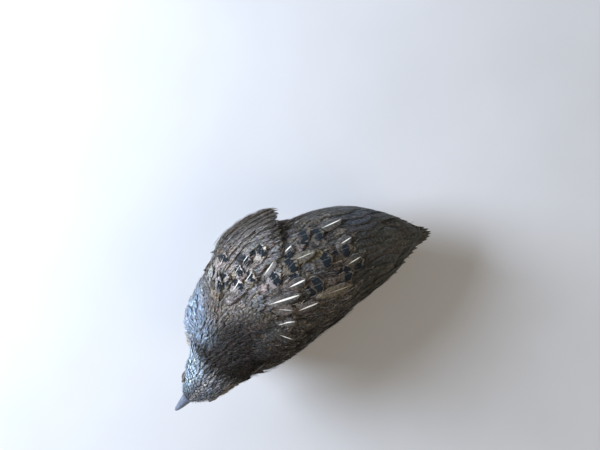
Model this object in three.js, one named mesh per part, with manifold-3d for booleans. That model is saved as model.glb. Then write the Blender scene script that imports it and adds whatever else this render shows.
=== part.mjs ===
// A life-size coturnix quail, resting on its belly with its head turned to its left and its bill lowered.
//
// Millimetres. +X is forward, +Y is the bird's left and +Z is up. The origin is on the flat on which the
// belly rests, below the middle of the trunk. Each named mesh is one part of the body, and touching
// parts keep a small gap.
import * as THREE from "three";
import { ParametricGeometry } from "three/addons/geometries/ParametricGeometry.js";
import { mergeVertices } from "three/addons/utils/BufferGeometryUtils.js";
import Module from "manifold-3d";

const wasm = await Module();
wasm.setup();

// Driving sizes
const GAP = 0.3;
const LEFT = 1;
const RIGHT = -1;
const DEGREE = Math.PI / 180;

const TRUNK_SIDES = 20;
const TRUNK_STEPS = 16;

// The trunk from rump to breast: x, y and z of each section's centre, then its half width,
// its height above the centre and its depth below it.
const TRUNK = [
  [-60, -3.2, 36, 0.2, 0.2, 0.2],
  [-55.5, -3.4, 36, 9, 5, 8],
  [-46, -3.8, 35, 16, 12.5, 16],
  [-34, -3.6, 34, 21.5, 21.5, 26],
  [-20, -2.6, 34, 25, 29, 33],
  [-5, 0.2, 34, 28, 34, 36],
  [10, 2.6, 35, 31, 36, 37.5],
  [22, 6.6, 35.5, 31.6, 36, 37.5],
  [32, 11, 36, 30.6, 34, 36.5],
  [42, 13.7, 36.5, 27.8, 30.5, 32],
  [50.5, 15, 37.5, 22.2, 24, 25.5],
  [57, 16, 38, 14.4, 16, 17],
  [61.6, 16.8, 38.5, 0.2, 0.2, 0.2],
];

// The form that the folded wings make round the trunk, in the same six numbers.
const FOLDED = [
  [-76, -1, 29, 0.2, 0.2, 0.2],
  [-66, -2.4, 31, 6.4, 5, 6],
  [-56, -3.4, 34, 14.2, 9.5, 12],
  [-44, -4, 35.5, 20.8, 16.5, 18],
  [-33, -4.3, 36, 25, 23, 24],
  [-20, -3.4, 36, 28.2, 30, 30],
  [-8, -1, 36.5, 30.6, 34.3, 33],
  [8, 1.6, 37, 33.4, 36.4, 34],
  [20, 5.8, 37, 33.6, 36.6, 34],
  [31, 10.8, 36.6, 31.9, 34.8, 35],
  [41.5, 13.6, 36.6, 28.8, 31.2, 32],
  [53, 15.4, 37, 19.4, 22, 24],
];

// The neck from inside the shoulders to inside the head, in the same six numbers.
const NECK = [
  [18, 3, 44, 12, 12, 12],
  [28, 8.5, 49, 19, 17.5, 17],
  [37.5, 15.8, 55.2, 20, 17, 18],
  [44.5, 20.6, 60.3, 17.8, 14.2, 15.5],
  [51, 25.2, 63.4, 14.4, 11.9, 12.5],
  [58, 29.5, 63, 8, 8, 8],
];

// The head's own frame: x towards the bill, y to the left and z up, from the middle of the skull.
const HEAD_AT = [55.2, 28.1, 64];
const HEAD_YAW = 35;
const HEAD_PITCH = 15;
const HEAD = [
  [-15, 0, -0.5, 0.2, 0.2, 0.2],
  [-13.4, 0, -0.5, 9, 7, 7.5],
  [-9, 0, -0.2, 13.3, 10.4, 10.6],
  [-3, 0, 0, 13, 11.8, 12],
  [3, 0, 0, 11, 11, 11.8],
  [8.5, 0, -0.9, 7.9, 8.4, 9.2],
  [13, 0, -2.2, 5.6, 5.4, 5.8],
  [16, 0, -3, 3.6, 3.4, 3.6],
  [17.6, 0, -3.4, 0.2, 0.2, 0.2],
];
const NAPE_CUT = -9.5;

// The bill, in the head's frame. The mouth line falls along a gentle curve to the tip.
const UPPER_BILL = [
  [11.5, 0, -2.7, 3, 2.7, 0.6],
  [16, 0, -3, 2.9, 2.5, 0.6],
  [20.5, 0, -3.5, 2.3, 2, 0.6],
  [24.5, 0, -4.3, 1.6, 1.5, 0.6],
  [27.6, 0, -5.4, 0.9, 0.9, 0.7],
  [29.2, 0, -6.5, 0.15, 0.15, 0.15],
];
const LOWER_BILL = [
  [11.5, 0, -4.3, 2.6, 0.8, 1.7],
  [16, 0, -4.7, 2.5, 0.8, 1.6],
  [20.5, 0, -5.1, 2, 0.7, 1.4],
  [24.5, 0, -5.9, 1.2, 0.6, 1],
  [26.9, 0, -6.4, 0.15, 0.15, 0.15],
];
const NOSTRIL_AT = [18.2, 2, -1.8];
const NOSTRIL_SIZE = [1.25, 0.8, 0.42];
const NOSTRIL_HOOD = [1.9, 0.75, 0.6];
const GAPE_AT = [12.2, 3.6, -3.6];
const GAPE_SIZE = [3.2, 1.6, 0.22];

const EYE_RADIUS = 4;
const EYE_AT = [4.2, 7.6, 2.1];
const EYE_LOOK = [0.3, 0.95, 0.1];
const LID_RADIUS = 3.3;
const LID_THICKNESS = 0.6;
const LID_OUT = 2.5;

// The legs are folded under the body. The right one mirrors the left.
const HOCK = [-14, 20.7, 6.4];
const ANKLE = [12.5, 18.6, 4.2];
const THIGH = [
  [-17.5, 20.4, 8.5, 0.2, 0.2, 0.2],
  [-15.5, 20.4, 8.8, 4, 3.8, 3.6],
  [-10, 20, 11.2, 6, 6.2, 5.6],
  [-2, 19.8, 14.4, 7.4, 8.4, 8],
  [6, 19.6, 18, 7.4, 8.2, 8.4],
  [12, 19, 21, 4.2, 4.2, 4.4],
  [13.6, 18.8, 21.6, 0.2, 0.2, 0.2],
];
const SHANK_RADIUS = 1.75;
const TOE_RADIUS = 1.35;
const TOE_REST = 1;
const CLAW_LENGTH = 4.2;
// Each toe: the way it points in degrees from forward, towards the outside, and its length to the claw.
const TOES = [
  { name: "inner", turn: -24, reach: 15 },
  { name: "middle", turn: 3, reach: 21 },
  { name: "outer", turn: 22, reach: 14.5 },
  { name: "hind", turn: 205, reach: 6 },
];

// A body lies this deep in the ground plane before its underside is cut flat.
const FLOOR_BLOCK = 400;

// Small tools for closed solids

const vector = (p) => new THREE.Vector3(...p);

// A closed solid from any three.js geometry whose seams and poles can be merged.
function solidFrom(geometry) {
  const bare = geometry.clone();
  bare.deleteAttribute("normal");
  bare.deleteAttribute("uv");
  const merged = mergeVertices(bare, 1e-4);
  const index = merged.index.array;
  const kept = [];
  for (let i = 0; i < index.length; i += 3) {
    const [a, b, c] = [index[i], index[i + 1], index[i + 2]];
    if (a !== b && b !== c && c !== a) kept.push(a, b, c);
  }
  const mesh = {
    numProp: 3,
    vertProperties: new Float32Array(merged.attributes.position.array),
    triVerts: new Uint32Array(kept),
  };
  const made = new wasm.Manifold(new wasm.Mesh(mesh));
  if (made.volume() > 0) return made;
  for (let i = 0; i < kept.length; i += 3) {
    [kept[i + 1], kept[i + 2]] = [kept[i + 2], kept[i + 1]];
  }
  mesh.triVerts = new Uint32Array(kept);
  return new wasm.Manifold(new wasm.Mesh(mesh));
}

// The largest closed surface of a solid, which drops loose scraps and sealed hollows.
function largest(solid) {
  const bodies = solid.decompose();
  return bodies.reduce((best, body) => (body.volume() > best.volume() ? body : best));
}

const join = (pieces) => pieces.reduce((sum, piece) => sum.add(piece));
const cutAway = (solid, others) => others.reduce((left, other) => left.subtract(other), solid);

function placed(solid, matrix) {
  return solid.transform([...matrix.elements]);
}

// Stations of six numbers as two smooth curves: where the centre runs, and how large the section is.
function profile(stations, grow = 0) {
  const centres = stations.map(([x, y, z]) => new THREE.Vector3(x, y, z));
  const sizes = stations.map(([, , , wide, up, down]) => new THREE.Vector3(wide, up, down));
  const path = new THREE.CatmullRomCurve3(centres, false, "centripetal");
  const size = new THREE.CatmullRomCurve3(sizes, false, "centripetal");
  const at = (t) => {
    const centre = path.getPoint(t);
    const ahead = path.getTangent(t);
    const across = new THREE.Vector3(0, 0, 1).cross(ahead).normalize();
    const over = ahead.clone().cross(across).normalize();
    const s = size.getPoint(t);
    const wide = Math.max(s.x, 0.05) + grow;
    const up = Math.max(s.y, 0.05) + grow;
    const down = Math.max(s.z, 0.05) + grow;
    return { centre, ahead, across, over, wide, up, down };
  };
  return at;
}

// A point of a lofted surface: t runs along it, and the angle turns from its left over its top.
function surfacePoint(section, angle, lift = 0) {
  const side = Math.cos(angle) * (section.wide + lift);
  const height = Math.sin(angle) * ((Math.sin(angle) > 0 ? section.up : section.down) + lift);
  return section.centre
    .clone()
    .addScaledVector(section.across, side)
    .addScaledVector(section.over, height);
}

// A closed tube through the stations, with its two ends drawn in to points.
function loft(stations, sides, steps, grow = 0) {
  const at = profile(stations, grow);
  const first = at(0);
  const last = at(1);
  const geometry = new ParametricGeometry(
    (u, v, target) => {
      const step = Math.round(u * (steps + 2)) - 1;
      if (step < 0) {
        target.copy(first.centre).addScaledVector(first.ahead, -grow);
      } else if (step > steps) {
        target.copy(last.centre).addScaledVector(last.ahead, grow);
      } else {
        const angle = (Math.round(v * sides) % sides) * ((2 * Math.PI) / sides);
        target.copy(surfacePoint(at(step / steps), angle));
      }
    },
    steps + 2,
    sides,
  );
  return solidFrom(geometry);
}

function ball(at, size, turn = new THREE.Quaternion(), sides = 12) {
  const matrix = new THREE.Matrix4().compose(vector(at), turn, vector(size));
  return placed(solidFrom(new THREE.SphereGeometry(1, sides, Math.round(sides / 2))), matrix);
}

// A tapered rod of round section along a smooth path, from points of x, y, z and radius.
function rod(points, sides, steps, grow = 0) {
  const stations = points.map(([x, y, z, radius]) => [x, y, z, radius, radius, radius]);
  return loft(stations, sides, steps, grow);
}

// The other side of the body.
const mirrorRow = (row, side) => [row[0], row[1] * side, ...row.slice(2)];
const mirrored = (rows, side) => rows.map((row) => mirrorRow(row, side));

// The folded form's surface, which wings and feathers follow

const foldedAt = profile(FOLDED);

// The folded form's section where its centre line passes x.
function foldedSection(x) {
  let [low, high] = [0, 1];
  for (let i = 0; i < 24; i += 1) {
    const middle = (low + high) / 2;
    if (foldedAt(middle).centre.x < x) low = middle;
    else high = middle;
  }
  return foldedAt(low);
}

// A point over the folded form: x along it, degrees up from the horizontal on one side, and height over it.
function overBody(side, x, rise, lift) {
  const angle = side === LEFT ? rise * DEGREE : Math.PI - rise * DEGREE;
  return surfacePoint(foldedSection(x), angle, lift);
}

function normalOverBody(side, x, rise) {
  const along = overBody(side, x + 1, rise, 0).sub(overBody(side, x - 1, rise, 0));
  const around = overBody(side, x, rise + 2, 0).sub(overBody(side, x, rise - 2, 0));
  const normal = side === LEFT ? along.cross(around) : around.cross(along);
  return normal.normalize().negate();
}

// A vane is a thin leaf that follows a surface from its root to its tip.
// Its outline is given at four places along it, as shares of its half width.
const OUTLINE = {
  round: [0.5, 1, 0.82, 0.22],
  long: [0.5, 0.95, 0.66, 0.14],
  broad: [0.6, 1, 0.9, 0.32],
};
const OUTLINE_AT = [0, 0.5, 0.85, 1];

// pointAt(share) gives a place and a normal from the root at 0 to the tip at 1.
function vane(pointAt, halfWidth, thickness, outline, roll = 0, grow = 0) {
  const rings = OUTLINE_AT.map((share, i) => {
    const { place, normal } = pointAt(share);
    const ahead = pointAt(Math.min(share + 0.05, 1)).place;
    ahead.sub(pointAt(Math.max(share - 0.05, 0)).place).normalize();
    const across = normal.clone().cross(ahead).normalize();
    across.applyAxisAngle(ahead, roll * DEGREE);
    const over = ahead.clone().cross(across).normalize();
    const half = halfWidth * outline[i] + grow;
    const thick = (thickness * (share === 1 ? 0.6 : 1)) / 2 + grow;
    const end = share === 1 ? grow : share === 0 ? -grow : 0;
    const middle = place.clone().addScaledVector(ahead, end);
    return [
      middle.clone().addScaledVector(across, half).addScaledVector(over, thick),
      middle.clone().addScaledVector(across, -half).addScaledVector(over, thick),
      middle.clone().addScaledVector(across, -half).addScaledVector(over, -thick),
      middle.clone().addScaledVector(across, half).addScaledVector(over, -thick),
    ];
  });
  const places = rings.flat().flatMap((p) => [p.x, p.y, p.z]);
  const faces = [
    [0, 1, 2],
    [0, 2, 3],
  ];
  // The under face is split along the same diagonals as the upper one, so the two never cross.
  for (let ring = 0; ring + 1 < rings.length; ring += 1) {
    for (let corner = 0; corner < 4; corner += 1) {
      const [a, b] = [ring * 4 + corner, ring * 4 + ((corner + 1) % 4)];
      if (corner === 2) faces.push([a, a + 4, b + 4], [a, b + 4, b]);
      else faces.push([a, a + 4, b], [b, a + 4, b + 4]);
    }
  }
  const end = (rings.length - 1) * 4;
  faces.push([end, end + 2, end + 1], [end, end + 3, end + 2]);
  const geometry = new THREE.BufferGeometry();
  geometry.setAttribute("position", new THREE.Float32BufferAttribute(places, 3));
  geometry.setIndex(faces.flat());
  return solidFrom(geometry);
}

// A vane over the folded form, between two places of [x, degrees of rise, lift]. The roll lifts its lower
// edge over the next vane down.
function bodyVane(side, root, tip, halfWidth, thickness, outline, roll = 0, grow = 0) {
  const pointAt = (share) => {
    const [x, rise, lift] = root.map((value, i) => value + (tip[i] - value) * share);
    return { place: overBody(side, x, rise, lift), normal: normalOverBody(side, x, rise) };
  };
  return vane(pointAt, halfWidth, thickness, outline, -roll * side, grow);
}

// A lens-shaped block along the folded form: its two ends, its upper and lower edges, and the heights
// over the form that it lies between.
function block(side, { front, back, upper, lower, heights }) {
  const [steps, sides] = [7, 12];
  const middleLift = (heights[0] + heights[1]) / 2;
  const halfLift = (heights[1] - heights[0]) / 2;
  const geometry = new ParametricGeometry(
    (u, v, target) => {
      const step = Math.round(u * (steps + 2)) - 1;
      const along = Math.min(Math.max(step / steps, 0), 1);
      const inside = step >= 0 && step <= steps ? 1 : 0;
      const round = 0.35 + 0.65 * Math.sqrt(1 - (2 * along - 1) ** 2);
      const spin = ((Math.round(v * sides) % sides) * 2 * Math.PI) / sides;
      const [top, low] = [upper(along), lower(along)];
      const rise = (top + low) / 2 + inside * ((top - low) / 2) * round * Math.cos(spin);
      const lift = middleLift + inside * halfLift * Math.sin(spin);
      target.copy(overBody(side, spread(front, back, along), rise, lift));
    },
    steps + 2,
    sides,
  );
  return solidFrom(geometry);
}

const spread = (from, to, share) => from + (to - from) * share;

// A row of vanes: each value runs from its first to its last, and the tips may bulge outward between.
function row(side, tier) {
  return Array.from({ length: tier.count }, (_, i) => {
    const share = tier.count > 1 ? i / (tier.count - 1) : 0.5;
    const root = tier.rootFrom.map((value, k) => spread(value, tier.rootTo[k], share));
    const tip = tier.tipFrom.map((value, k) => spread(value, tier.tipTo[k], share));
    const bulge = Math.sin(Math.PI * share);
    tip[0] += (tier.bulge?.[0] ?? 0) * bulge;
    tip[2] += (tier.bulge?.[1] ?? 0) * bulge;
    const half = spread(tier.half[0], tier.half[1], share);
    return bodyVane(side, root, tip, half, tier.thickness, tier.outline, tier.roll);
  });
}

// Trunk, neck and head

const floor = placed(
  solidFrom(new THREE.BoxGeometry(FLOOR_BLOCK, FLOOR_BLOCK, FLOOR_BLOCK)),
  new THREE.Matrix4().makeTranslation(0, 0, -FLOOR_BLOCK / 2),
);
const trunkGrown = loft(TRUNK, TRUNK_SIDES, TRUNK_STEPS, GAP);

const headMatrix = new THREE.Matrix4().compose(
  vector(HEAD_AT),
  new THREE.Quaternion().setFromEuler(
    new THREE.Euler(0, HEAD_PITCH * DEGREE, HEAD_YAW * DEGREE, "ZYX"),
  ),
  new THREE.Vector3(1, 1, 1),
);
const toHead = (solid) => placed(solid, headMatrix);

function sided(p, side) {
  return [p[0], p[1] * side, p[2]];
}

function makeEye(side, grow = 0) {
  const radius = EYE_RADIUS + grow;
  return ball(sided(EYE_AT, side), [radius, radius, radius], new THREE.Quaternion(), 14);
}

// Two lids close round the eye as one raised, slightly oval rim.
function makeLids(side) {
  const look = vector(sided(EYE_LOOK, side)).normalize();
  const turn = new THREE.Quaternion().setFromUnitVectors(new THREE.Vector3(0, 0, 1), look);
  const at = vector(sided(EYE_AT, side)).addScaledVector(look, LID_OUT);
  const ring = solidFrom(new THREE.TorusGeometry(LID_RADIUS, LID_THICKNESS, 5, 16));
  return placed(ring, new THREE.Matrix4().compose(at, turn, new THREE.Vector3(1.06, 0.96, 1)));
}

const upperBillWhole = (grow = 0) => loft(UPPER_BILL, 8, 6, grow);
const lowerBillWhole = (grow = 0) => loft(LOWER_BILL, 8, 6, grow);

function makeUpperBill() {
  const hoods = [LEFT, RIGHT].map((side) => {
    const at = sided(NOSTRIL_AT, side);
    return ball([at[0] - 0.3, at[1] - 0.25 * side, at[2] + 0.35], NOSTRIL_HOOD);
  });
  const nostrils = [LEFT, RIGHT].map((side) => ball(sided(NOSTRIL_AT, side), NOSTRIL_SIZE));
  return cutAway(join([upperBillWhole(), ...hoods]), nostrils);
}

function makeSkull() {
  const lids = [LEFT, RIGHT].map(makeLids);
  const eyes = [LEFT, RIGHT].map((side) => makeEye(side, GAP));
  const gapes = [LEFT, RIGHT].map((side) => ball(sided(GAPE_AT, side), GAPE_SIZE));
  const bill = [upperBillWhole(GAP), lowerBillWhole(GAP)];
  return cutAway(join([loft(HEAD, 18, 12), ...lids]), [...eyes, ...gapes, ...bill]);
}

// The skull and neck are one form, parted by a thin cut at the nape.
const napeNormal = new THREE.Vector3(1, 0, 0).transformDirection(headMatrix);
const napePoint = new THREE.Vector3(NAPE_CUT, 0, 0).applyMatrix4(headMatrix);
const napeOffset = napeNormal.dot(napePoint);
const neckWhole = (grow = 0) => loft(NECK, 16, 7, grow);

const skull = toHead(makeSkull());
const neckAndSkull = neckWhole().add(toHead(loft(HEAD, 18, 12))).subtract(trunkGrown);
const back = napeNormal.clone().negate();
const neck = largest(
  neckAndSkull.trimByPlane([back.x, back.y, back.z], -(napeOffset - GAP / 2)),
);
const head = largest(
  skull
    .trimByPlane([napeNormal.x, napeNormal.y, napeNormal.z], napeOffset + GAP / 2)
    .subtract(trunkGrown),
);

// Legs

const thighWhole = (side, grow = 0) => loft(mirrored(THIGH, side), 10, 7, grow);

function shankWhole(side, grow = 0) {
  const [h, a] = [HOCK, ANKLE];
  const points = [
    [h[0] - 1.2, h[1], h[2] + 0.6, 0.3],
    [h[0], h[1], h[2] + 0.2, SHANK_RADIUS * 1.25],
    [spread(h[0], a[0], 0.3), h[1], spread(h[2], a[2], 0.3), SHANK_RADIUS],
    [spread(h[0], a[0], 0.75), a[1], spread(h[2], a[2], 0.75), SHANK_RADIUS],
    [a[0] - 0.6, a[1], a[2], SHANK_RADIUS * 1.15],
  ];
  return rod(mirrored(points, side), 8, 6, grow);
}

// One toe with its claw, pressed on the ground along its length.
function toe({ turn, reach }, side, grow = 0) {
  const [dx, dy] = [Math.cos(turn * DEGREE), Math.sin(turn * DEGREE)];
  const start = [ANKLE[0] + 1.6, ANKLE[1]];
  const along = (distance, height, radius) => [
    start[0] + dx * distance,
    start[1] + dy * distance,
    height,
    radius,
  ];
  const points = [
    along(-0.4, 3.6, TOE_RADIUS * 1.2),
    along(reach * 0.22, 2.6, TOE_RADIUS * 1.15),
    along(reach * 0.5, TOE_REST, TOE_RADIUS),
    along(reach * 0.8, TOE_REST, TOE_RADIUS * 0.95),
    along(reach, TOE_REST + 0.1, TOE_RADIUS * 0.8),
    along(reach + CLAW_LENGTH * 0.5, 1.4, TOE_RADIUS * 0.5),
    along(reach + CLAW_LENGTH, 0.45, 0.15),
  ];
  return rod(mirrored(points, side), 6, 8, grow);
}

function footWhole(side, grow = 0) {
  const heel = ball([ANKLE[0] + 1.9, ANKLE[1] * side, 3.4], [2.5, 2.3, 2.3].map((r) => r + grow));
  return join([heel, ...TOES.map((one) => toe(one, side, grow))]);
}

const legs = {};
for (const side of [LEFT, RIGHT]) {
  const foot = largest(footWhole(side).subtract(floor));
  const shank = largest(shankWhole(side).subtract(footWhole(side, GAP)).subtract(floor));
  const thigh = largest(thighWhole(side).subtract(shankWhole(side, GAP)));
  legs[side] = { foot, shank, thigh };
}

const legRoom = [LEFT, RIGHT].flatMap((side) => [
  thighWhole(side, GAP),
  shankWhole(side, GAP),
  footWhole(side, GAP),
]);
const trunk = largest(cutAway(loft(TRUNK, TRUNK_SIDES, TRUNK_STEPS), [floor, ...legRoom]));

// Tail: twelve feathers overlap from the middle pair outward, with shorter coverts over them.
const TAIL_BASE = [
  [-38, -3.6, 40, 0.2, 0.2, 0.2],
  [-42, -3.6, 40, 9, 7, 8],
  [-50, -3.6, 38, 8.5, 5, 7],
  [-57, -3, 34.6, 6, 2, 3.4],
  [-60, -2.6, 33.2, 0.2, 0.2, 0.2],
];
const TAIL_TIERS = [
  { pairs: 6, root: -49, height: 36, tip: -75, drop: 30.4, fan: 8, half: 3.8, spacing: 1.7 },
  { pairs: 3, root: -46, height: 38.8, tip: -66, drop: 34, fan: 8, half: 4.2, spacing: 2.8 },
];
// The tail's middle line, in y, at the roots and at the tips.
const TAIL_MIDDLE = [-3.4, -0.2];

function tailWhole(grow = 0) {
  const pieces = [loft(TAIL_BASE, 12, 6, grow)];
  for (const tier of TAIL_TIERS) {
    for (let i = 0; i < tier.pairs; i += 1) {
      for (const side of [LEFT, RIGHT]) {
        const turn = (tier.fan * i * DEGREE) / tier.pairs;
        const rootY = side * tier.spacing * (0.3 + i * 0.55);
        const length = (tier.root - tier.tip) * (1 - 0.02 * i * i);
        const layer = -0.95 * i - (side === RIGHT ? 0.48 : 0);
        const pointAt = (share) => ({
          place: new THREE.Vector3(
            tier.root - length * share * Math.cos(turn),
            spread(...TAIL_MIDDLE, share) + rootY + side * length * share * Math.sin(turn),
            spread(tier.height, tier.drop, share) + layer * (0.5 + 0.5 * share),
          ),
          normal: new THREE.Vector3(0, side * (0.06 + 0.1 * i), 1).normalize(),
        });
        pieces.push(vane(pointAt, tier.half, 0.55, OUTLINE.long, 0, grow));
      }
    }
  }
  return join(pieces);
}

// Scapulars: shoulder feathers that fan out from the neck's base over the front of each wing.
// On the right they are loose and stand off as a lobe, and on the left they lie close.
const SCAPULARS = {
  [LEFT]: {
    bed: {
      front: 42,
      back: 8,
      upper: () => 74,
      lower: (s) => spread(58, 46, s),
      heights: [-3, 2.4],
    },
    tiers: [
      {
        count: 5,
        rootFrom: [14, 72, 1.8],
        rootTo: [22, 50, 1.8],
        tipFrom: [-12, 74, 2],
        tipTo: [6, 44, 1.8],
        half: [6, 5.2],
      },
      {
        count: 4,
        rootFrom: [26, 70, 2],
        rootTo: [30, 56, 2],
        tipFrom: [4, 72, 3.2],
        tipTo: [17, 50, 2.4],
        half: [6, 5],
      },
    ],
  },
  [RIGHT]: {
    bed: {
      front: 34,
      back: 0,
      upper: (s) => spread(66, 46, s),
      lower: (s) => spread(34, 2, s),
      heights: [-3, 5.6],
    },
    tiers: [
      {
        count: 6,
        rootFrom: [9, 50, 3],
        rootTo: [16, 12, 3.4],
        tipFrom: [-4, 42, 6],
        tipTo: [1, 0, 6.4],
        bulge: [-4, 2.2],
        half: [5.6, 5],
      },
      {
        count: 4,
        rootFrom: [18, 58, 3.4],
        rootTo: [23, 26, 3.6],
        tipFrom: [3, 50, 6.4],
        tipTo: [12, 8, 5.4],
        bulge: [-1, 1],
        half: [5.8, 4.8],
      },
      {
        count: 3,
        rootFrom: [26, 64, 2.8],
        rootTo: [28, 42, 3],
        tipFrom: [9, 62, 5.4],
        tipTo: [19, 24, 4.6],
        bulge: [0, 1],
        half: [5.4, 4.4],
      },
    ],
  },
};

function scapularsWhole(side) {
  const { bed, tiers } = SCAPULARS[side];
  const leaf = { thickness: 0.65, outline: OUTLINE.round, roll: 9 };
  return join([block(side, bed), ...tiers.flatMap((tier) => row(side, { ...tier, ...leaf }))]);
}

// Wings: a folded arm fills the room beside the trunk and carries five tiers of vanes.
const ARM = {
  front: 34,
  back: -40,
  upper: (s) => spread(44, 76, s),
  lower: (s) => spread(8, -18, s),
  heights: [-22, 10],
};
const ARM_LIFT = -1.9;
const WING_TIERS = [
  // Primaries, the longest, which show past the others towards the tail.
  {
    count: 4,
    rootFrom: [-30, 32, -3],
    rootTo: [-22, -6, -3.6],
    tipFrom: [-69, 40, -1.4],
    tipTo: [-52, -14, -3],
    half: [3.6, 4.4],
    thickness: 0.6,
    outline: OUTLINE.long,
    roll: 9,
  },
  // Secondaries, stepped along the lower edge of the wing.
  {
    count: 5,
    rootFrom: [-20, 34, -2.6],
    rootTo: [-4, -12, -2.6],
    tipFrom: [-56, 26, -0.6],
    tipTo: [-31, -18, -1],
    half: [4.8, 4.8],
    thickness: 0.6,
    outline: OUTLINE.round,
    roll: 10,
  },
  // Tertials, the broad feathers that cover the folded wing from above.
  {
    count: 5,
    rootFrom: [-14, 74, -2.4],
    rootTo: [-10, 16, -2.4],
    tipFrom: [-56, 72, 0.4],
    tipTo: [-44, 16, 0.4],
    half: [5, 6],
    thickness: 0.6,
    outline: OUTLINE.broad,
    roll: 8,
  },
  // Greater coverts.
  {
    count: 6,
    rootFrom: [0, 66, -2.4],
    rootTo: [12, -8, -2.4],
    tipFrom: [-25, 66, 0.6],
    tipTo: [-11, -14, 0.2],
    half: [5.6, 5],
    thickness: 0.6,
    outline: OUTLINE.round,
    roll: 8,
  },
  // Median coverts.
  {
    count: 6,
    rootFrom: [14, 48, -2.3],
    rootTo: [24, 0, -2.3],
    tipFrom: [-4, 52, 0.3],
    tipTo: [6, -6, 0.2],
    half: [5, 4.4],
    thickness: 0.6,
    outline: OUTLINE.round,
    roll: 9,
  },
];

function wingWhole(side) {
  const arm = block(side, ARM).intersect(loft(FOLDED, TRUNK_SIDES, TRUNK_STEPS, ARM_LIFT));
  return join([arm, ...WING_TIERS.flatMap((tier) => row(side, tier))]);
}

// The folded form in two sizes keeps the shoulder feathers and the wings under them apart.
const SHOULDER_LIFT = 1.1;
const overWings = loft(FOLDED, TRUNK_SIDES, TRUNK_STEPS, SHOULDER_LIFT + GAP);
const underShoulders = loft(FOLDED, TRUNK_SIDES, TRUNK_STEPS, SHOULDER_LIFT);

const neckRoom = neckWhole(GAP).add(toHead(loft(HEAD, 18, 12, GAP)));
const tail = largest(tailWhole().subtract(trunkGrown));
const tailRoom = tailWhole(GAP);
const scapulars = {};
const wings = {};
for (const side of [LEFT, RIGHT]) {
  scapulars[side] = largest(cutAway(scapularsWhole(side), [overWings, trunkGrown, neckRoom]));
  wings[side] = largest(
    cutAway(wingWhole(side).intersect(underShoulders), [trunkGrown, neckRoom, tailRoom]),
  );
}

// Looks of each kind of surface

const finish = (colour, roughness) =>
  new THREE.MeshStandardMaterial({ color: colour, roughness, metalness: 0 });
const materials = {
  backFeathers: finish("#4b3d33", 0.85),
  breastFeathers: finish("#7c6656", 0.9),
  headFeathers: finish("#5d4c41", 0.88),
  wingFeathers: finish("#5a4a3f", 0.75),
  tailFeathers: finish("#4a3d34", 0.8),
  thighFeathers: finish("#8a7460", 0.9),
  bill: finish("#565a60", 0.45),
  eye: finish("#1c120c", 0.08),
  leg: finish("#b08f74", 0.6),
};

// A solid as a named mesh of the object.
function part(name, solid, material) {
  const mesh = solid.getMesh();
  const geometry = new THREE.BufferGeometry();
  geometry.setAttribute("position", new THREE.BufferAttribute(mesh.vertProperties, mesh.numProp));
  geometry.setIndex(new THREE.BufferAttribute(mesh.triVerts, 1));
  geometry.computeVertexNormals();
  const made = new THREE.Mesh(geometry, material);
  made.name = name;
  return made;
}

const quail = new THREE.Group();
quail.add(part("torso", trunk, materials.breastFeathers));
quail.add(part("neck", neck, materials.headFeathers));
quail.add(part("head", head, materials.headFeathers));
quail.add(part("bill_upper", toHead(makeUpperBill()), materials.bill));
quail.add(
  part("bill_lower", toHead(lowerBillWhole().subtract(upperBillWhole(GAP))), materials.bill),
);
quail.add(part("tail", tail, materials.tailFeathers));
for (const side of [LEFT, RIGHT]) {
  const label = side === LEFT ? "left" : "right";
  quail.add(part(`eye_${label}`, toHead(makeEye(side)), materials.eye));
  quail.add(part(`wing_${label}`, wings[side], materials.wingFeathers));
  quail.add(part(`scapulars_${label}`, scapulars[side], materials.backFeathers));
  quail.add(part(`thigh_${label}`, legs[side].thigh, materials.thighFeathers));
  quail.add(part(`shank_${label}`, legs[side].shank, materials.leg));
  quail.add(part(`foot_${label}`, legs[side].foot, materials.leg));
}

export default quail;
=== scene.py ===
# %% [markdown]
# # A coturnix quail at rest
# The bird lies on its belly with its head turned to its left and its bill lowered, and the camera looks
# down on its back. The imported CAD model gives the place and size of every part. Over it go a skin, some
# sixteen thousand feathers and loose barbs of solid mesh, eyes with lids, a horny bill and scaled legs.
# Sizes are in millimetres here, and one scale turns them into Blender's metres.

# %% Opening the shared frame
import math

import bpy
import numpy as np
from mathutils import Matrix, Vector
from mathutils.bvhtree import BVHTree


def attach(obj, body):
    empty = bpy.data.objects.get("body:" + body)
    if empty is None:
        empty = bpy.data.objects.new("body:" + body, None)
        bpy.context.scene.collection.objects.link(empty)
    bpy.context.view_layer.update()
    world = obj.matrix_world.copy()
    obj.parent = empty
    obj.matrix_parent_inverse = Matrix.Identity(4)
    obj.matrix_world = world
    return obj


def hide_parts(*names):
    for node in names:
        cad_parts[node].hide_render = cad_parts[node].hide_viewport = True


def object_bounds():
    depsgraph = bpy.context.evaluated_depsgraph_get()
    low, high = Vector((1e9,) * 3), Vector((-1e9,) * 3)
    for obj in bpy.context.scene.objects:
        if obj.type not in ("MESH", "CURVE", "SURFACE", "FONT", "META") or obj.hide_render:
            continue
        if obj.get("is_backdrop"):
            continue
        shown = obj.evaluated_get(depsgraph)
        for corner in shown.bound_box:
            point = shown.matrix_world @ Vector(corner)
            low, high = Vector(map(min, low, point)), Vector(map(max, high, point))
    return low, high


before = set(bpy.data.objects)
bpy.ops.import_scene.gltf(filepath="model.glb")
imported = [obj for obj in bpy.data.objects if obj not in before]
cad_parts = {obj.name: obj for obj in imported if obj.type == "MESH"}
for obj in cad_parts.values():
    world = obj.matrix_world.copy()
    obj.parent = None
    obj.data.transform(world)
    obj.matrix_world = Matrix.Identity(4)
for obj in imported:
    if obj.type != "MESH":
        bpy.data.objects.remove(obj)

MM = 0.001
BODY = "root"
cad_box = [[float(value) for value in corner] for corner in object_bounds()]
print("CAD nodes:", ", ".join(sorted(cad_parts)))
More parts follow.
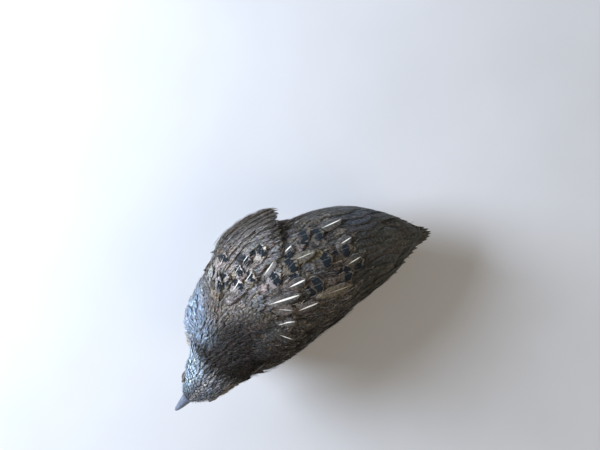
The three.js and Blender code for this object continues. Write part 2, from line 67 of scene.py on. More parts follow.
print("CAD box in mm:", [[round(value / MM, 1) for value in corner] for corner in cad_box])

# %% [markdown]
# ## The photograph's camera
# The view comes from high over the bird's back, a little behind its right side. Its place was worked out
# from the directions in which upright things lean and from the bird's size. The camera's three axes are
# written into its matrix, so that nothing has to aim it.

# %% Setting up the camera
IMAGE_WIDTH = 600
FOCAL_PIXELS = 1040
SENSOR_WIDTH = 36.0
# The camera's place, then the directions of the picture's right edge and lower edge, in the bird's frame.
CAMERA_AT = (-5.2, -110.8, 557.1)
IMAGE_RIGHT = Vector((-0.954, 0.294, 0.059)).normalized()
IMAGE_DOWN = Vector((0.300, 0.942, 0.151)).normalized()

camera_data = bpy.data.cameras.new("view_camera")
camera_data.sensor_width = SENSOR_WIDTH
camera_data.lens = FOCAL_PIXELS / IMAGE_WIDTH * SENSOR_WIDTH
camera_data.clip_start = 0.01
camera_data.clip_end = 10.0
camera = bpy.data.objects.new("view_camera", camera_data)
bpy.context.collection.objects.link(camera)
camera_back = IMAGE_RIGHT.cross(-IMAGE_DOWN).normalized()
camera_up = camera_back.cross(IMAGE_RIGHT)
turn = Matrix((IMAGE_RIGHT, camera_up, camera_back)).transposed()
camera.matrix_world = Matrix.Translation(Vector(CAMERA_AT) * MM) @ turn.to_4x4()
bpy.context.scene.camera = camera
print("lens in mm:", round(camera_data.lens, 1))

# %% [markdown]
# ## Helpers for colours and nodes
# Colours are written as sRGB hex values, as a colour picker shows them, and one function turns them into
# the linear values that Blender works with. A second one adds a shader node with its settings and links.
# A third joins a material's colour and relief to its shader and sets the values that are the same all
# over the surface, such as its roughness.

# %% Colour and node helpers
def linear(hex_colour):
    """An sRGB hex colour as linear red, green, blue and alpha."""
    channels = [int(hex_colour[i:i + 2], 16) / 255 for i in (1, 3, 5)]
    return tuple(c / 12.92 if c <= 0.04045 else ((c + 0.055) / 1.055) ** 2.4 for c in channels) + (1.0,)


def add_node(tree, kind, inputs=None, **settings):
    """Adds a node, sets its properties, and fills its inputs with values or with links from sockets."""
    node = tree.nodes.new(kind)
    for name, value in settings.items():
        setattr(node, name, value)
    for key, source in (inputs or {}).items():
        if isinstance(source, bpy.types.NodeSocket):
            tree.links.new(source, node.inputs[key])
        else:
            node.inputs[key].default_value = source
    return node


def new_material(name):
    """A named material with its shader and output nodes, ready for links."""
    material = bpy.data.materials.new(name)
    material.use_nodes = True
    tree = material.node_tree
    return material, tree, tree.nodes["Principled BSDF"]


def close_material(tree, shader, outputs, values):
    """Joins outputs to the shader's sockets of these names and sets the sockets that are constant."""
    for name, output in outputs.items():
        tree.links.new(output, shader.inputs[name])
    for name, value in values.items():
        shader.inputs[name].default_value = value


print("a middle grey in linear light:", round(linear("#808080")[0], 3))

# %% [markdown]
# ## Forms that run along a line
# Trunk, neck, head and bill are tubes whose section changes along them. Each is a short table of
# stations: the middle of a section, then its half width, its height and its depth. A smooth curve runs
# through them, as in the CAD model, so that skin and solids agree. These tables repeat the model's.

# %% Stations of the forms
TRUNK = [
    [-60, -3.2, 36, 0.2, 0.2, 0.2],
    [-55.5, -3.4, 36, 9, 5, 8],
    [-46, -3.8, 35, 16, 12.5, 16],
    [-34, -3.6, 34, 21.5, 21.5, 26],
    [-20, -2.6, 34, 25, 29, 33],
    [-5, 0.2, 34, 28, 34, 36],
    [10, 2.6, 35, 31, 36, 37.5],
    [22, 6.6, 35.5, 31.6, 36, 37.5],
    [32, 11, 36, 30.6, 34, 36.5],
    [42, 13.7, 36.5, 27.8, 30.5, 32],
    [50.5, 15, 37.5, 22.2, 24, 25.5],
    [57, 16, 38, 14.4, 16, 17],
    [61.6, 16.8, 38.5, 0.2, 0.2, 0.2],
]
FOLDED = [
    [-76, -1, 29, 0.2, 0.2, 0.2],
    [-66, -2.4, 31, 6.4, 5, 6],
    [-56, -3.4, 34, 14.2, 9.5, 12],
    [-44, -4, 35.5, 20.8, 16.5, 18],
    [-33, -4.3, 36, 25, 23, 24],
    [-20, -3.4, 36, 28.2, 30, 30],
    [-8, -1, 36.5, 30.6, 34.3, 33],
    [8, 1.6, 37, 33.4, 36.4, 34],
    [20, 5.8, 37, 33.6, 36.6, 34],
    [31, 10.8, 36.6, 31.9, 34.8, 35],
    [41.5, 13.6, 36.6, 28.8, 31.2, 32],
    [53, 15.4, 37, 19.4, 22, 24],
]
NECK = [
    [18, 3, 44, 12, 12, 12],
    [28, 8.5, 49, 19, 17.5, 17],
    [37.5, 15.8, 55.2, 20, 17, 18],
    [44.5, 20.6, 60.3, 17.8, 14.2, 15.5],
    [51, 25.2, 63.4, 14.4, 11.9, 12.5],
    [58, 29.5, 63, 8, 8, 8],
]
HEAD = [
    [-15, 0, -0.5, 0.2, 0.2, 0.2],
    [-13.4, 0, -0.5, 9, 7, 7.5],
    [-9, 0, -0.2, 13.3, 10.4, 10.6],
    [-3, 0, 0, 13, 11.8, 12],
    [3, 0, 0, 11, 11, 11.8],
    [8.5, 0, -0.9, 7.9, 8.4, 9.2],
    [13, 0, -2.2, 5.6, 5.4, 5.8],
    [16, 0, -3, 3.6, 3.4, 3.6],
    [17.6, 0, -3.4, 0.2, 0.2, 0.2],
]
print("trunk runs from", TRUNK[0][0], "to", TRUNK[-1][0], "mm")

# %% [markdown]
# ## A smooth tube through the stations
# A curve passes through every station without swinging out between two of them. Each section is two half
# ellipses, one above and one below, which is all that trunk, neck and head need. Lofting by hand would
# give such forms too, but not from the same numbers as the CAD model's.

# %% Curves and tubes
def unit(vectors):
    """Vectors brought to length one."""
    vectors = np.asarray(vectors, float)
    return vectors / np.maximum(np.linalg.norm(vectors, axis=-1, keepdims=True), 1e-9)


def smooth_curve(points, count):
    """A centripetal Catmull-Rom curve through the points, sampled evenly from station to station."""
    points = np.asarray(points, float)
    ends = np.vstack([2 * points[0] - points[1], points, 2 * points[-1] - points[-2]])
    gaps = np.sqrt(np.linalg.norm(np.diff(ends, axis=0), axis=1))[:, None]
    gaps = np.maximum(gaps, 1e-4)
    t = np.linspace(0, len(points) - 1, count)
    i = np.minimum(t.astype(int), len(points) - 2)
    w = (t - i)[:, None]
    before, start, stop, after = (ends[i + k] for k in range(4))
    g0, g1, g2 = (gaps[i + k] for k in range(3))
    leave = ((start - before) / g0 - (stop - before) / (g0 + g1) + (stop - start) / g1) * g1
    arrive = ((stop - start) / g1 - (after - start) / (g1 + g2) + (after - stop) / g2) * g1
    turn_a = -3 * start + 3 * stop - 2 * leave - arrive
    turn_b = 2 * start - 2 * stop + leave + arrive
    return start + leave * w + turn_a * w**2 + turn_b * w**3


def sections(stations, count=160):
    """The tube's sections: centre, across, over, half width, height and depth."""
    rows = np.asarray(stations, float)
    centre = smooth_curve(rows[:, :3], count)
    size = np.maximum(smooth_curve(rows[:, 3:], count), 0.05)
    ahead = unit(np.gradient(centre, axis=0))
    across = unit(np.cross([0.0, 0.0, 1.0], ahead))
    over = unit(np.cross(ahead, across))
    return centre, across, over, size


def ring_faces(rings, sides):
    """Quads between rings of points that follow one another, and a cap on each end."""
    faces = []
    for ring in range(rings - 1):
        for k in range(sides):
            a, b = ring * sides + k, ring * sides + (k + 1) % sides
            faces.append((a, b, b + sides, a + sides))
    faces.append(tuple(range(sides))[::-1])
    faces.append(tuple((rings - 1) * sides + k for k in range(sides)))
    return faces


def tube(stations, rings, sides, grow=0.0):
    """Points and faces of a closed tube. Growing it moves its surface outward by that much."""
    centre, across, over, size = sections(stations, rings)
    size = np.maximum(size + grow, 0.05)
    angle = np.linspace(0, 2 * math.pi, sides, endpoint=False)
    c, s = np.cos(angle), np.sin(angle)
    tall = np.where(s > 0, size[:, 1:2], size[:, 2:3])
    points = centre[:, None] + across[:, None] * (size[:, :1] * c)[..., None]
    points = points + over[:, None] * (tall * s)[..., None]
    return points.reshape(-1, 3), ring_faces(rings, sides)


trunk_steps = np.diff(sections(TRUNK)[0], axis=0)
print("the trunk's middle line is", round(np.linalg.norm(trunk_steps, axis=1).sum()), "mm long")

# %% [markdown]
# ## The head's own frame
# The head is turned and nods on the neck. Its parts are made straight and level, with x towards the bill,
# and then turned and moved together, so that eyes and bill always fit it.

# %% Turning the head
HEAD_AT = np.array([55.2, 28.1, 64.0])
HEAD_YAW = math.radians(35)
HEAD_PITCH = math.radians(15)


def turn_about(axis, angle):
    """The matrix of a turn about one axis."""
    return np.array(Matrix.Rotation(angle, 3, axis))


HEAD_TURN = turn_about("Z", HEAD_YAW) @ turn_about("Y", HEAD_PITCH)


def from_head(points):
    """Points of the head's own frame, x towards the bill and z up, in the bird's frame."""
    return np.asarray(points, float) @ HEAD_TURN.T + HEAD_AT


def in_head(points):
    """Points of the bird's frame in the head's own."""
    return (np.asarray(points, float) - HEAD_AT) @ HEAD_TURN


print("the head is turned to the left by", round(math.degrees(HEAD_YAW)), "degrees")

# %% [markdown]
# ## Meshes from arrays
# Thousands of feathers are too many for tools that are used by hand, so each piece is made at once from
# arrays of points and quads. The maps and values that the materials read are stored with the mesh.

# %% A mesh builder
def build_mesh(name, points, faces, material, slot=None, maps=None, values=None, smooth=True):
    """A new object that rides on the body. Points are in millimetres, and faces are lists or an array."""
    mesh = bpy.data.meshes.new(name)
    if isinstance(faces, np.ndarray):
        mesh.vertices.add(len(points))
        mesh.vertices.foreach_set("co", (np.asarray(points) * MM).ravel())
        mesh.loops.add(faces.size)
        mesh.loops.foreach_set("vertex_index", faces.ravel())
        mesh.polygons.add(len(faces))
        mesh.polygons.foreach_set("loop_start", np.arange(len(faces)) * faces.shape[1])
        mesh.update(calc_edges=True)
    else:
        mesh.from_pydata((np.asarray(points) * MM).tolist(), [], faces)
    for map_name, corner in (maps or {}).items():
        layer = mesh.uv_layers.new(name=map_name)
        layer.data.foreach_set("uv", corner[faces.ravel()].ravel())
    for value_name, data in (values or {}).items():
        kind = "FLOAT_COLOR" if data.shape[1] == 4 else "FLOAT_VECTOR"
        layer = mesh.attributes.new(value_name, kind, "POINT")
        layer.data.foreach_set("color" if kind == "FLOAT_COLOR" else "vector", data.ravel())
    mesh.polygons.foreach_set("use_smooth", np.full(len(mesh.polygons), smooth))
    mesh.materials.append(material)
    made = bpy.data.objects.new(name, mesh)
    bpy.context.collection.objects.link(made)
    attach(made, BODY)
    return made


print("every piece rides on the body", BODY)

# %% [markdown]
# ## The skin
# Under its coat a bird is one unbroken skin. It could be sculpted, but the CAD forms already give its
# shape, so the same tubes are used. The folded wings get a form of their own, on which places are given
# by x and by degrees up from the side. Wing and shoulder feathers are laid by the same measures later on.

# %% Places on the folded wings
LEFT, RIGHT = 1, -1
FOLDED_STEPS = 400

folded_centre, folded_across, folded_over, folded_size = sections(FOLDED, FOLDED_STEPS)


def over_body(side, x, rise, lift):
    """Points over the form of the folded wings: x along it, degrees up from its side, height over it."""
    x, rise, lift = np.broadcast_arrays(*(np.asarray(v, float) for v in (x, rise, lift)))
    steps = np.arange(FOLDED_STEPS)
    place = np.interp(x, folded_centre[:, 0], steps)

    def at(table):
        return np.stack([np.interp(place, steps, table[:, k]) for k in range(3)], -1)

    angle = np.radians(rise)
    c = np.cos(angle) * side
    s = np.sin(angle)
    size = at(folded_size)
    tall = np.where(s > 0, size[..., 1], size[..., 2]) + lift
    wide = size[..., 0] + lift
    out = at(folded_across) * (wide * c)[..., None]
    return at(folded_centre) + out + at(folded_over) * (tall * s)[..., None]


def shoulder_bed(side, front, back, upper, lower, heights, rings=24, sides=32):
    """The lens-shaped bed of shoulder feathers: its ends, its upper and lower edges, and its heights."""
    along = np.linspace(0, 1, rings)[:, None]
    spin = np.linspace(0, 2 * math.pi, sides, endpoint=False)[None, :]
    round_share = 0.05 + 0.95 * np.sqrt(np.maximum(1 - (2 * along - 1) ** 2, 0))
    top = upper[0] + (upper[1] - upper[0]) * along
    low = lower[0] + (lower[1] - lower[0]) * along
    rise = (top + low) / 2 + (top - low) / 2 * round_share * np.cos(spin)
    lift = sum(heights) / 2 + (heights[1] - heights[0]) / 2 * round_share * np.sin(spin)
    points = over_body(side, front + (back - front) * along, rise, lift).reshape(-1, 3)
    return points, ring_faces(rings, sides)


print("highest place of the folded wings at x = 0:", over_body(LEFT, 0, 90, 0).round(1))

# %% [markdown]
# ## All forms under the coat
# Each form is drawn in by the depth of the coat over it, so that the feathers' tips come out at the
# model's surface. The shoulder feathers lie on two low beds, of which the right one stands off.

# %% Forms under the coat
# How deep the coat is over each form, in millimetres.
TRUNK_COAT = 1.8
WING_COAT = 2.5
HEAD_COAT = 0.7
NECK_COAT = 1.1
THIGH_COAT = 1.2
WING_BODY = [[-73, -1.6, 29.8, 0.2, 0.2, 0.2]] + FOLDED[1:]
THIGH = [
    [-17.5, 20.4, 8.5, 0.2, 0.2, 0.2],
    [-15.5, 20.4, 8.8, 4, 3.8, 3.6],
    [-10, 20, 11.2, 6, 6.2, 5.6],
    [-2, 19.8, 14.4, 7.4, 8.4, 8],
    [6, 19.6, 18, 7.4, 8.2, 8.4],
    [12, 19, 21, 4.2, 4.2, 4.4],
    [13.6, 18.8, 21.6, 0.2, 0.2, 0.2],
]


def on_side(place, side):
    """A place, direction or station that is given for the left, on either side."""
    return np.array([place[0], place[1] * side, *place[2:]])


head_points, head_faces = tube(HEAD, 40, 40, -HEAD_COAT)
forms = [
    tube(TRUNK, 90, 64, -TRUNK_COAT),
    tube(WING_BODY, 90, 64, -WING_COAT),
    tube(NECK, 40, 48, -NECK_COAT),
    (from_head(head_points), head_faces),
    shoulder_bed(RIGHT, front=34, back=0, upper=(60, 40), lower=(34, 2), heights=(-4, 2.6)),
    shoulder_bed(LEFT, front=42, back=8, upper=(74, 74), lower=(58, 46), heights=(-4, 0.8)),
    *[tube([on_side(row, side) for row in THIGH], 30, 24, -THIGH_COAT) for side in (LEFT, RIGHT)],
]
print("forms under the coat:", len(forms))

# %% [markdown]
# ## One skin from many forms
# Joining the forms one by one would leave an edge wherever two meet. A voxel remesh sets one even net of
# quads over all of them at once, and smoothing it softens the hollows between them, as down and skin do.
# One closed skin without seams comes out, and every feather is later rooted on it.

# %% Merging the forms into one skin
SKIN_VOXEL = 0.9
SKIN_SMOOTHING = 14
FLOOR_CLEARANCE = 0.5


def merged(parts):
    """Points and faces of several forms as one list of each."""
    points, faces = [], []
    for part_points, part_faces in parts:
        faces += [tuple(index + len(points) for index in face) for face in part_faces]
        points += list(part_points)
    return np.array(points), faces


def merged_skin(parts, voxel, smoothing):
    """Merges closed forms into one smooth closed mesh."""
    scratch = bpy.data.meshes.new("skin_forms")
    points, faces = merged(parts)
    scratch.from_pydata((points * MM).tolist(), [], faces)
    holder = bpy.data.objects.new("skin_forms", scratch)
    bpy.context.collection.objects.link(holder)
    remesh = holder.modifiers.new("merge", "REMESH")
    remesh.mode = "VOXEL"
    remesh.voxel_size = voxel * MM
    relax = holder.modifiers.new("relax", "SMOOTH")
    relax.iterations = smoothing
    relax.factor = 0.5
    evaluated = holder.evaluated_get(bpy.context.evaluated_depsgraph_get())
    result = bpy.data.meshes.new_from_object(evaluated)
    count = len(result.vertices)
    places = np.empty(count * 3)
    result.vertices.foreach_get("co", places)
    corners = np.array([list(face.vertices) for face in result.polygons])
    bpy.data.objects.remove(holder)
    bpy.data.meshes.remove(result)
    bpy.data.meshes.remove(scratch)
    return places.reshape(-1, 3) / MM, corners


skin_points, skin_faces = merged_skin(forms, SKIN_VOXEL, SKIN_SMOOTHING)
skin_points[:, 2] = np.maximum(skin_points[:, 2], FLOOR_CLEARANCE)
skin_tree = BVHTree.FromPolygons(skin_points.tolist(), skin_faces.tolist())
print("skin:", len(skin_points), "points and", len(skin_faces), "faces")

# %% [markdown]
# ## The lie of the coat
# Feathers point away from the bill and towards the tail, part at the neck's sides and run together over
# the rump. A comb could set this by hand. Here a few guide arrows are read from the bird, and every
# other place takes the weighted mean of the arrows near it. On the head the coat runs straight back
# from the bill.

# %% Guide arrows for the lie
# Each guide: a place, then the direction in which feathers point there.
GUIDES = np.array([
    # Nape, neck and throat
    (47, 15, 75, -0.85, -0.40, -0.05),
    (38, 8, 73, -0.93, -0.30, 0.02),
    (36, 24, 71, -0.95, -0.02, -0.1),
    (40, 33, 58, -0.90, 0.10, -0.40),
    (52, 9, 64, -0.62, -0.62, -0.45),
    (44, -3, 62, -0.78, -0.52, -0.25),
    (61, 17, 52, -0.15, -0.30, -0.95),
    (58, 32, 50, -0.10, 0.20, -0.97),
    # Breast and belly
    (61, 15, 40, 0.0, 0.0, -1.0),
    (55, 1, 45, -0.25, -0.35, -0.90),
    (52, 30, 40, -0.25, 0.30, -0.92),
    (50, 15, 17, -0.70, 0.0, -0.70),
    (42, -12, 45, -0.80, -0.30, -0.52),
    (38, 38, 42, -0.80, 0.25, -0.52),
    (20, 4, 0, -1.0, 0.0, 0.0),
    (-25, 0, 6, -0.95, 0.0, 0.30),
    (-50, 0, 24, -0.95, 0.0, 0.30),
    # Flanks and the sides of the wings
    (20, -32, 22, -0.97, 0.05, -0.05),
    (20, 38, 22, -0.97, -0.05, -0.05),
    (-15, -27, 18, -0.96, 0.10, 0.18),
    (-15, 27, 18, -0.96, -0.10, 0.18),
    (0, -35, 42, -0.99, 0.02, -0.10),
    (0, 36, 42, -0.99, -0.02, -0.10),
    # Shoulders and back
    (30, -20, 67, -0.76, -0.63, -0.12),
    (22, -17, 70, -0.80, -0.59, -0.10),
    (12, -14, 70, -0.84, -0.54, -0.10),
    (1, -18, 67, -0.965, -0.26, -0.05),
    (4, -4, 70, -0.99, -0.12, -0.05),
    (15, 1, 72, -1.0, -0.03, 0.05),
    (3, 8, 70, -0.99, -0.10, -0.05),
    (15, 12, 71, -0.98, 0.19, 0.05),
    (20, 24, 66, -0.95, 0.30, -0.10),
    (-5, 20, 64, -0.98, 0.12, -0.12),
    (-11, 5, 67, -1.0, 0.02, -0.20),
    (-20, -20, 56, -1.0, 0.04, -0.28),
    (-27, -10, 59, -0.98, -0.14, -0.25),
    (-30, 10, 58, -0.98, -0.05, -0.30),
    # Rump and tail
    (-45, -1, 53, -0.97, 0.0, -0.30),
    (-45, -18, 42, -0.92, 0.30, -0.25),
    (-45, 15, 42, -0.92, -0.32, -0.25),
    (-62, -1, 38, -0.97, 0.0, -0.25),
], float)
print("guide arrows:", len(GUIDES))

# %% [markdown]
# ## Reading the lie anywhere
# A place takes most of its direction from the arrows within about a centimetre. The directions are then
# laid flat on the skin, because an arrow that sticks out would stand its feather on end.

# %% The lie at any place
GUIDE_REACH = 11.0
HEAD_LIE = HEAD_TURN @ np.array([-1.0, 0.0, 0.05])


def smoothstep(low, high, value):
    """Rises smoothly from 0 at low to 1 at high, or falls if low is above high."""
    share = np.clip((np.asarray(value, float) - low) / (high - low), 0, 1)
    return share * share * (3 - 2 * share)


def head_share(points):
    """How far a place belongs to the head: 1 on the head and 0 from the nape down."""
    local = in_head(points)
    inside = smoothstep(19, 15, np.linalg.norm(local * [0.75, 1, 1], axis=-1))
    return smoothstep(-13, -5, local[..., 0]) * inside


def lie_at(points):
    """The direction of the coat at places on the skin."""
    points = np.asarray(points, float)
    apart = np.linalg.norm(points[:, None] - GUIDES[None, :, :3], axis=2)
    weight = np.exp(-((apart / GUIDE_REACH) ** 2)) + 1e-7 / (1 + apart**2)
    body_lie = unit(np.einsum("pg,gk->pk", weight, unit(GUIDES[:, 3:])))
    share = head_share(points)[:, None]
    return unit(body_lie * (1 - share) + HEAD_LIE * share)


def on_skin(points):
    """The nearest places on the skin and its normals there."""
    found = [skin_tree.find_nearest(Vector(p))[:2] for p in points]
    return np.array([f[0] for f in found]), np.array([f[1] for f in found])


def along_surface(directions, normals):
    """Directions laid flat on the surface."""
    dot = np.sum(directions * normals, axis=-1, keepdims=True)
    return unit(directions - normals * dot)


print("lie on the middle of the back:", lie_at([[0, 0, 70]])[0].round(2))

# %% [markdown]
# ## Where feathers grow
# On a real bird feathers grow in even rows. Scattering them at random leaves bald spots and clumps, so
# random places are tried, and each is kept only if no other lies within the wanted spacing. This gives
# an even cover that doesn't look like a grid.

# %% Scattering roots evenly
rng = np.random.default_rng(27)
corner_points = skin_points[skin_faces]
face_middles = corner_points.mean(axis=1)
face_crosses = np.cross(
    corner_points[:, 2] - corner_points[:, 0], corner_points[:, 3] - corner_points[:, 1]
)
face_areas = np.linalg.norm(face_crosses, axis=1) / 2
TRIES = 8


def scatter(wanted, spacing):
    """Evenly spread places on the faces that are wanted."""
    faces = np.nonzero(wanted)[0]
    areas = face_areas[faces]
    tries = int(areas.sum() / spacing**2 * TRIES)
    chosen = rng.choice(faces, tries, p=areas / areas.sum())
    share = rng.random((tries, 2, 1))
    square = corner_points[chosen]
    low = square[:, 0] * (1 - share[:, 0]) + square[:, 1] * share[:, 0]
    high = square[:, 3] * (1 - share[:, 0]) + square[:, 2] * share[:, 0]
    places = low * (1 - share[:, 1]) + high * share[:, 1]
    cells, kept = {}, []
    offsets = [(i, j, k) for i in (-1, 0, 1) for j in (-1, 0, 1) for k in (-1, 0, 1)]

    def crowded(p, cell):
        for i, j, k in offsets:
            for q in cells.get((cell[0] + i, cell[1] + j, cell[2] + k), ()):
                if (p[0] - q[0]) ** 2 + (p[1] - q[1]) ** 2 + (p[2] - q[2]) ** 2 < spacing**2:
                    return True
        return False

    for p in places.tolist():
        cell = tuple(int(c // spacing) for c in p)
        if not crowded(p, cell):
            cells.setdefault(cell, []).append(p)
            kept.append(p)
    return np.array(kept)


print("skin area in square centimetres:", round(face_areas.sum() / 100, 1))

# %% [markdown]
# ## One feather
# A feather is a thin leaf: a stiff shaft down its middle, and a vane of barbs on each side that droops a
# little towards its edge. Each one here is a closed lens of mesh, a tenth of a millimetre or so thick,
# bent along the path it lies on. Its outline narrows to the root, and its barbs end raggedly at the tip.

# %% Feather shape
OUTLINES = {
    "body": ([0, 0.15, 0.4, 0.65, 0.82, 0.93, 1], [0.18, 0.62, 0.95, 1, 0.84, 0.55, 0.16]),
    "broad": ([0, 0.15, 0.4, 0.7, 0.86, 0.95, 1], [0.25, 0.7, 1, 1, 0.86, 0.58, 0.18]),
    "long": ([0, 0.12, 0.4, 0.7, 0.86, 0.95, 1], [0.3, 0.75, 1, 0.9, 0.68, 0.42, 0.12]),
    "wisp": ([0, 0.3, 0.7, 1], [0.5, 1, 0.8, 0.1]),
}
SPACING_POWER = 0.85


def spaced(rows):
    """Shares of a feather's length at its rows of points, which stand closer towards the tip."""
    return np.linspace(0, 1, rows) ** SPACING_POWER


def path_lengths(path):
    """The length of each path of a batch."""
    return np.linalg.norm(np.diff(path, axis=1), axis=2).sum(axis=1)


def leaf_faces(rows, columns):
    """Quads of a closed leaf whose two faces share their rim."""
    top = np.arange(rows * columns).reshape(rows, columns)
    under = top.copy()
    inner = rows * columns + np.arange((rows - 2) * (columns - 2)).reshape(rows - 2, columns - 2)
    under[1:-1, 1:-1] = inner
    quads = []
    for sheet, flip in ((top, 1), (under, -1)):
        quad = [sheet[:-1, :-1], sheet[:-1, 1:], sheet[1:, 1:], sheet[1:, :-1]][::flip]
        quads.append(np.stack(quad, -1).reshape(-1, 4))
    return np.vstack(quads)


def plume(path, normal, half, outline="body", columns=5, thick=0.12, camber=0.12, fray=0.1, roll=0.0):
    """Many feathers at once. Path and normal are (feathers, rows, 3), half is each half width."""
    count, rows = path.shape[:2]
    share = spaced(rows)
    width = np.interp(share, *OUTLINES[outline])
    ahead = unit(np.gradient(path, axis=1))
    across = unit(np.cross(normal, ahead))
    angle = math.radians(roll)
    across = unit(across * math.cos(angle) + normal * math.sin(angle))
    over = unit(np.cross(ahead, across))
    u = np.linspace(-1, 1, columns)
    rim = (np.abs(u) > 0.99)[None, None, :]
    loose = 1 - fray * rng.random((count, rows, columns)) * (rim + 0.35)
    reach = half[:, None, None] * width[None, :, None] * u[None, None, :] * loose
    length = path_lengths(path)
    back = np.zeros((count, rows, columns))
    ragged = fray * rng.random((2, count, columns))
    back[:, -1] = length[:, None] * 0.10 * u[None] ** 2 + half[:, None] * ragged[0] * 2.0
    back[:, -2] = length[:, None] * 0.06 * u[None] ** 2 + half[:, None] * ragged[1] * 0.7
    droop = camber * half[:, None, None] * width[None, :, None] * u[None, None, :] ** 2
    top = path[:, :, None] + across[:, :, None] * reach[..., None]
    top = top - over[:, :, None] * droop[..., None] - ahead[:, :, None] * back[..., None]
    under = top[:, 1:-1, 1:-1] - over[:, 1:-1, None] * thick
    top[:, 1:-1, 1:-1] += over[:, 1:-1, None] * thick * 0.4
    points = np.concatenate([top.reshape(count, -1, 3), under.reshape(count, -1, 3)], axis=1)
    uu = np.broadcast_to((u + 1) / 2, (rows, columns))
    vv = np.broadcast_to(share[:, None], (rows, columns))
    flat = np.stack([uu, vv], -1)
    corner = np.concatenate([flat.reshape(-1, 2), flat[1:-1, 1:-1].reshape(-1, 2)])
    shown = int(rows * 0.7)
    return {
        "points": points, "faces": leaf_faces(rows, columns), "corner": corner, "root": path[:, 0],
        "middle": path[:, shown], "normal": normal[:, shown], "length": length,
        "half": np.asarray(half, float), "path": path, "up": normal,
    }


print("outlines:", ", ".join(OUTLINES))

# %% [markdown]
# ## Laying a feather on the bird
# A feather follows the body from its root, but its shaft is springy and its tip stands a little higher
# than its root, over the roots of the next ones. So a path is walked over the skin in small steps,
# lifted from root to tip, and partly straightened.

# %% Walking over the skin
def lifted(path, normals, first, lengths, lifts, stiff):
    """Raises paths that lie on the skin, from the root's lift to the tip's, and straightens them."""
    share = spaced(path.shape[1])
    for _ in range(2):
        normals[:, 1:-1] = unit(normals[:, :-2] + normals[:, 1:-1] * 2 + normals[:, 2:])
    straight = path[:, :1] + first[:, None] * (lengths[:, None] * share[None])[..., None]
    off = np.maximum(np.sum((straight - path) * normals, axis=2), 0) * stiff
    low, high = (np.broadcast_to(lift, len(path)) for lift in lifts)
    lift = low[:, None] + (high - low)[:, None] * share[None] ** 1.2
    path = path + normals * (off + lift)[..., None]
    path[..., 2] = np.maximum(path[..., 2], FLOOR_CLEARANCE * 0.6)
    return path, normals


def lay(roots, lengths, lifts, rows=7, stiff=0.25, wander=5.0):
    """Paths over the skin from the roots along the coat's lie, and the normals along them."""
    place, normal = on_skin(roots)
    heading = along_surface(lie_at(place), normal)
    sideways = np.cross(normal, heading)
    turned = np.radians(rng.normal(0, wander, len(place)))[:, None]
    heading = unit(heading * np.cos(turned) + sideways * np.sin(turned))
    share = spaced(rows)
    path, normals, first = [place], [normal], heading
    for k in range(1, rows):
        step = lengths[:, None] * (share[k] - share[k - 1])
        place, normal = on_skin(place + heading * step)
        heading = along_surface(heading, normal)
        path.append(place)
        normals.append(normal)
    return lifted(np.stack(path, 1), np.stack(normals, 1), first, lengths, lifts, stiff)


def from_above(flat):
    """Places on the skin straight below points that are given by x and y alone."""
    hits = [skin_tree.ray_cast(Vector((px, py, 200.0)), Vector((0, 0, -1)))[:2] for px, py in flat]
    return np.array([h[0] for h in hits]), np.array([h[1] for h in hits])


def lay_between(roots, tips, lifts, rows=9, stiff=0.15):
    """Paths over the skin between roots and tips that are given by x and y."""
    share = spaced(rows)[None, :, None]
    line = roots[:, None] + (tips - roots)[:, None] * share
    place, normal = from_above(line.reshape(-1, 2))
    path, normals = (found.reshape(len(roots), rows, 3) for found in (place, normal))
    first = unit(path[:, 1] - path[:, 0])
    return lifted(path, normals, first, path_lengths(path), lifts, stiff)


def roots_for_tips(tips, lengths):
    """Roots whose feathers end near the given tips."""
    place, normal = on_skin(tips)
    heading = along_surface(lie_at(place), normal)
    middle, normal = on_skin(place - heading * lengths[:, None] * 0.5)
    heading = along_surface(lie_at(middle), normal)
    return on_skin(middle - heading * lengths[:, None] * 0.5)[0]


print("skin's height over the origin in mm:", round(float(from_above([(0, 0)])[0][0, 2]), 1))

# %% [markdown]
# ## What colour grows where
# A quail hides by its markings. The ground is a dark, cool grey-brown over the back, nearly plain on the
# folded flight feathers, warmer on the nape, buff on the breast and pale on the belly. Beside these stand
# painted light and shade: bluish skylight on the right of head and breast, a lit right and a shaded left
# side of the neck, a cheek made paler, a sheen on the right wing, highlights on fine barbs, and shade on the
# left side and in the notch behind the right shoulder. Each place takes a mix of these, worked out from its
# position, and skin and feathers use the same function. A painted image could do the same for a bare skin,
# but not for thousands of feathers that cross each other.

# %% Ground colours
COAT = {name: np.array(linear(value)[:3]) for name, value in {
    "back": "#58524b",
    "shoulder": "#958e87",
    # Painted shade, for the shaded left side, the notch behind the right shoulder and the collar's edge.
    "shade": "#2b2822",
    "rear": "#45443e",
    # Painted sheen, where sky light catches the right wing.
    "sheen": "#474c56",
    # Painted highlight, where fine barbs catch the light.
    "barb_highlight": "#a09f9f",
    "buff": "#8a7a58",
    "nape": "#2d2825",
    # The neck's two sides: painted shade on the left and painted light on the right.
    "neck_left_shaded": "#221d19",
    "neck_right_lit": "#857b70",
    "crown": "#727579",
    # Painted skylight on the right side of the head.
    "temple_skylight": "#b4c3cb",
    # The cheek's own pale tone, made paler still as painted light on the shaded left side.
    "cheek": "#bcb2a5",
    "brow": "#a49c91",
    "throat": "#a89e92",
    "breast": "#9c9285",
    # Painted skylight on the right side of the breast.
    "breast_right_skylight": "#8996a2",
    "belly": "#c3b49c",
    "flank": "#6b5a47",
}.items()}
print("ground colours:", ", ".join(COAT))

# %% [markdown]
# ## Lines, painted highlights and painted shade seen from above
# A few lines and spots on the back are paler or darker than what lies round them: two buff lines, which are
# the coat's own, painted highlights where fine barbs catch the light, and painted shade in the notch behind
# the right shoulder. They are given by x and y, as seen from above.

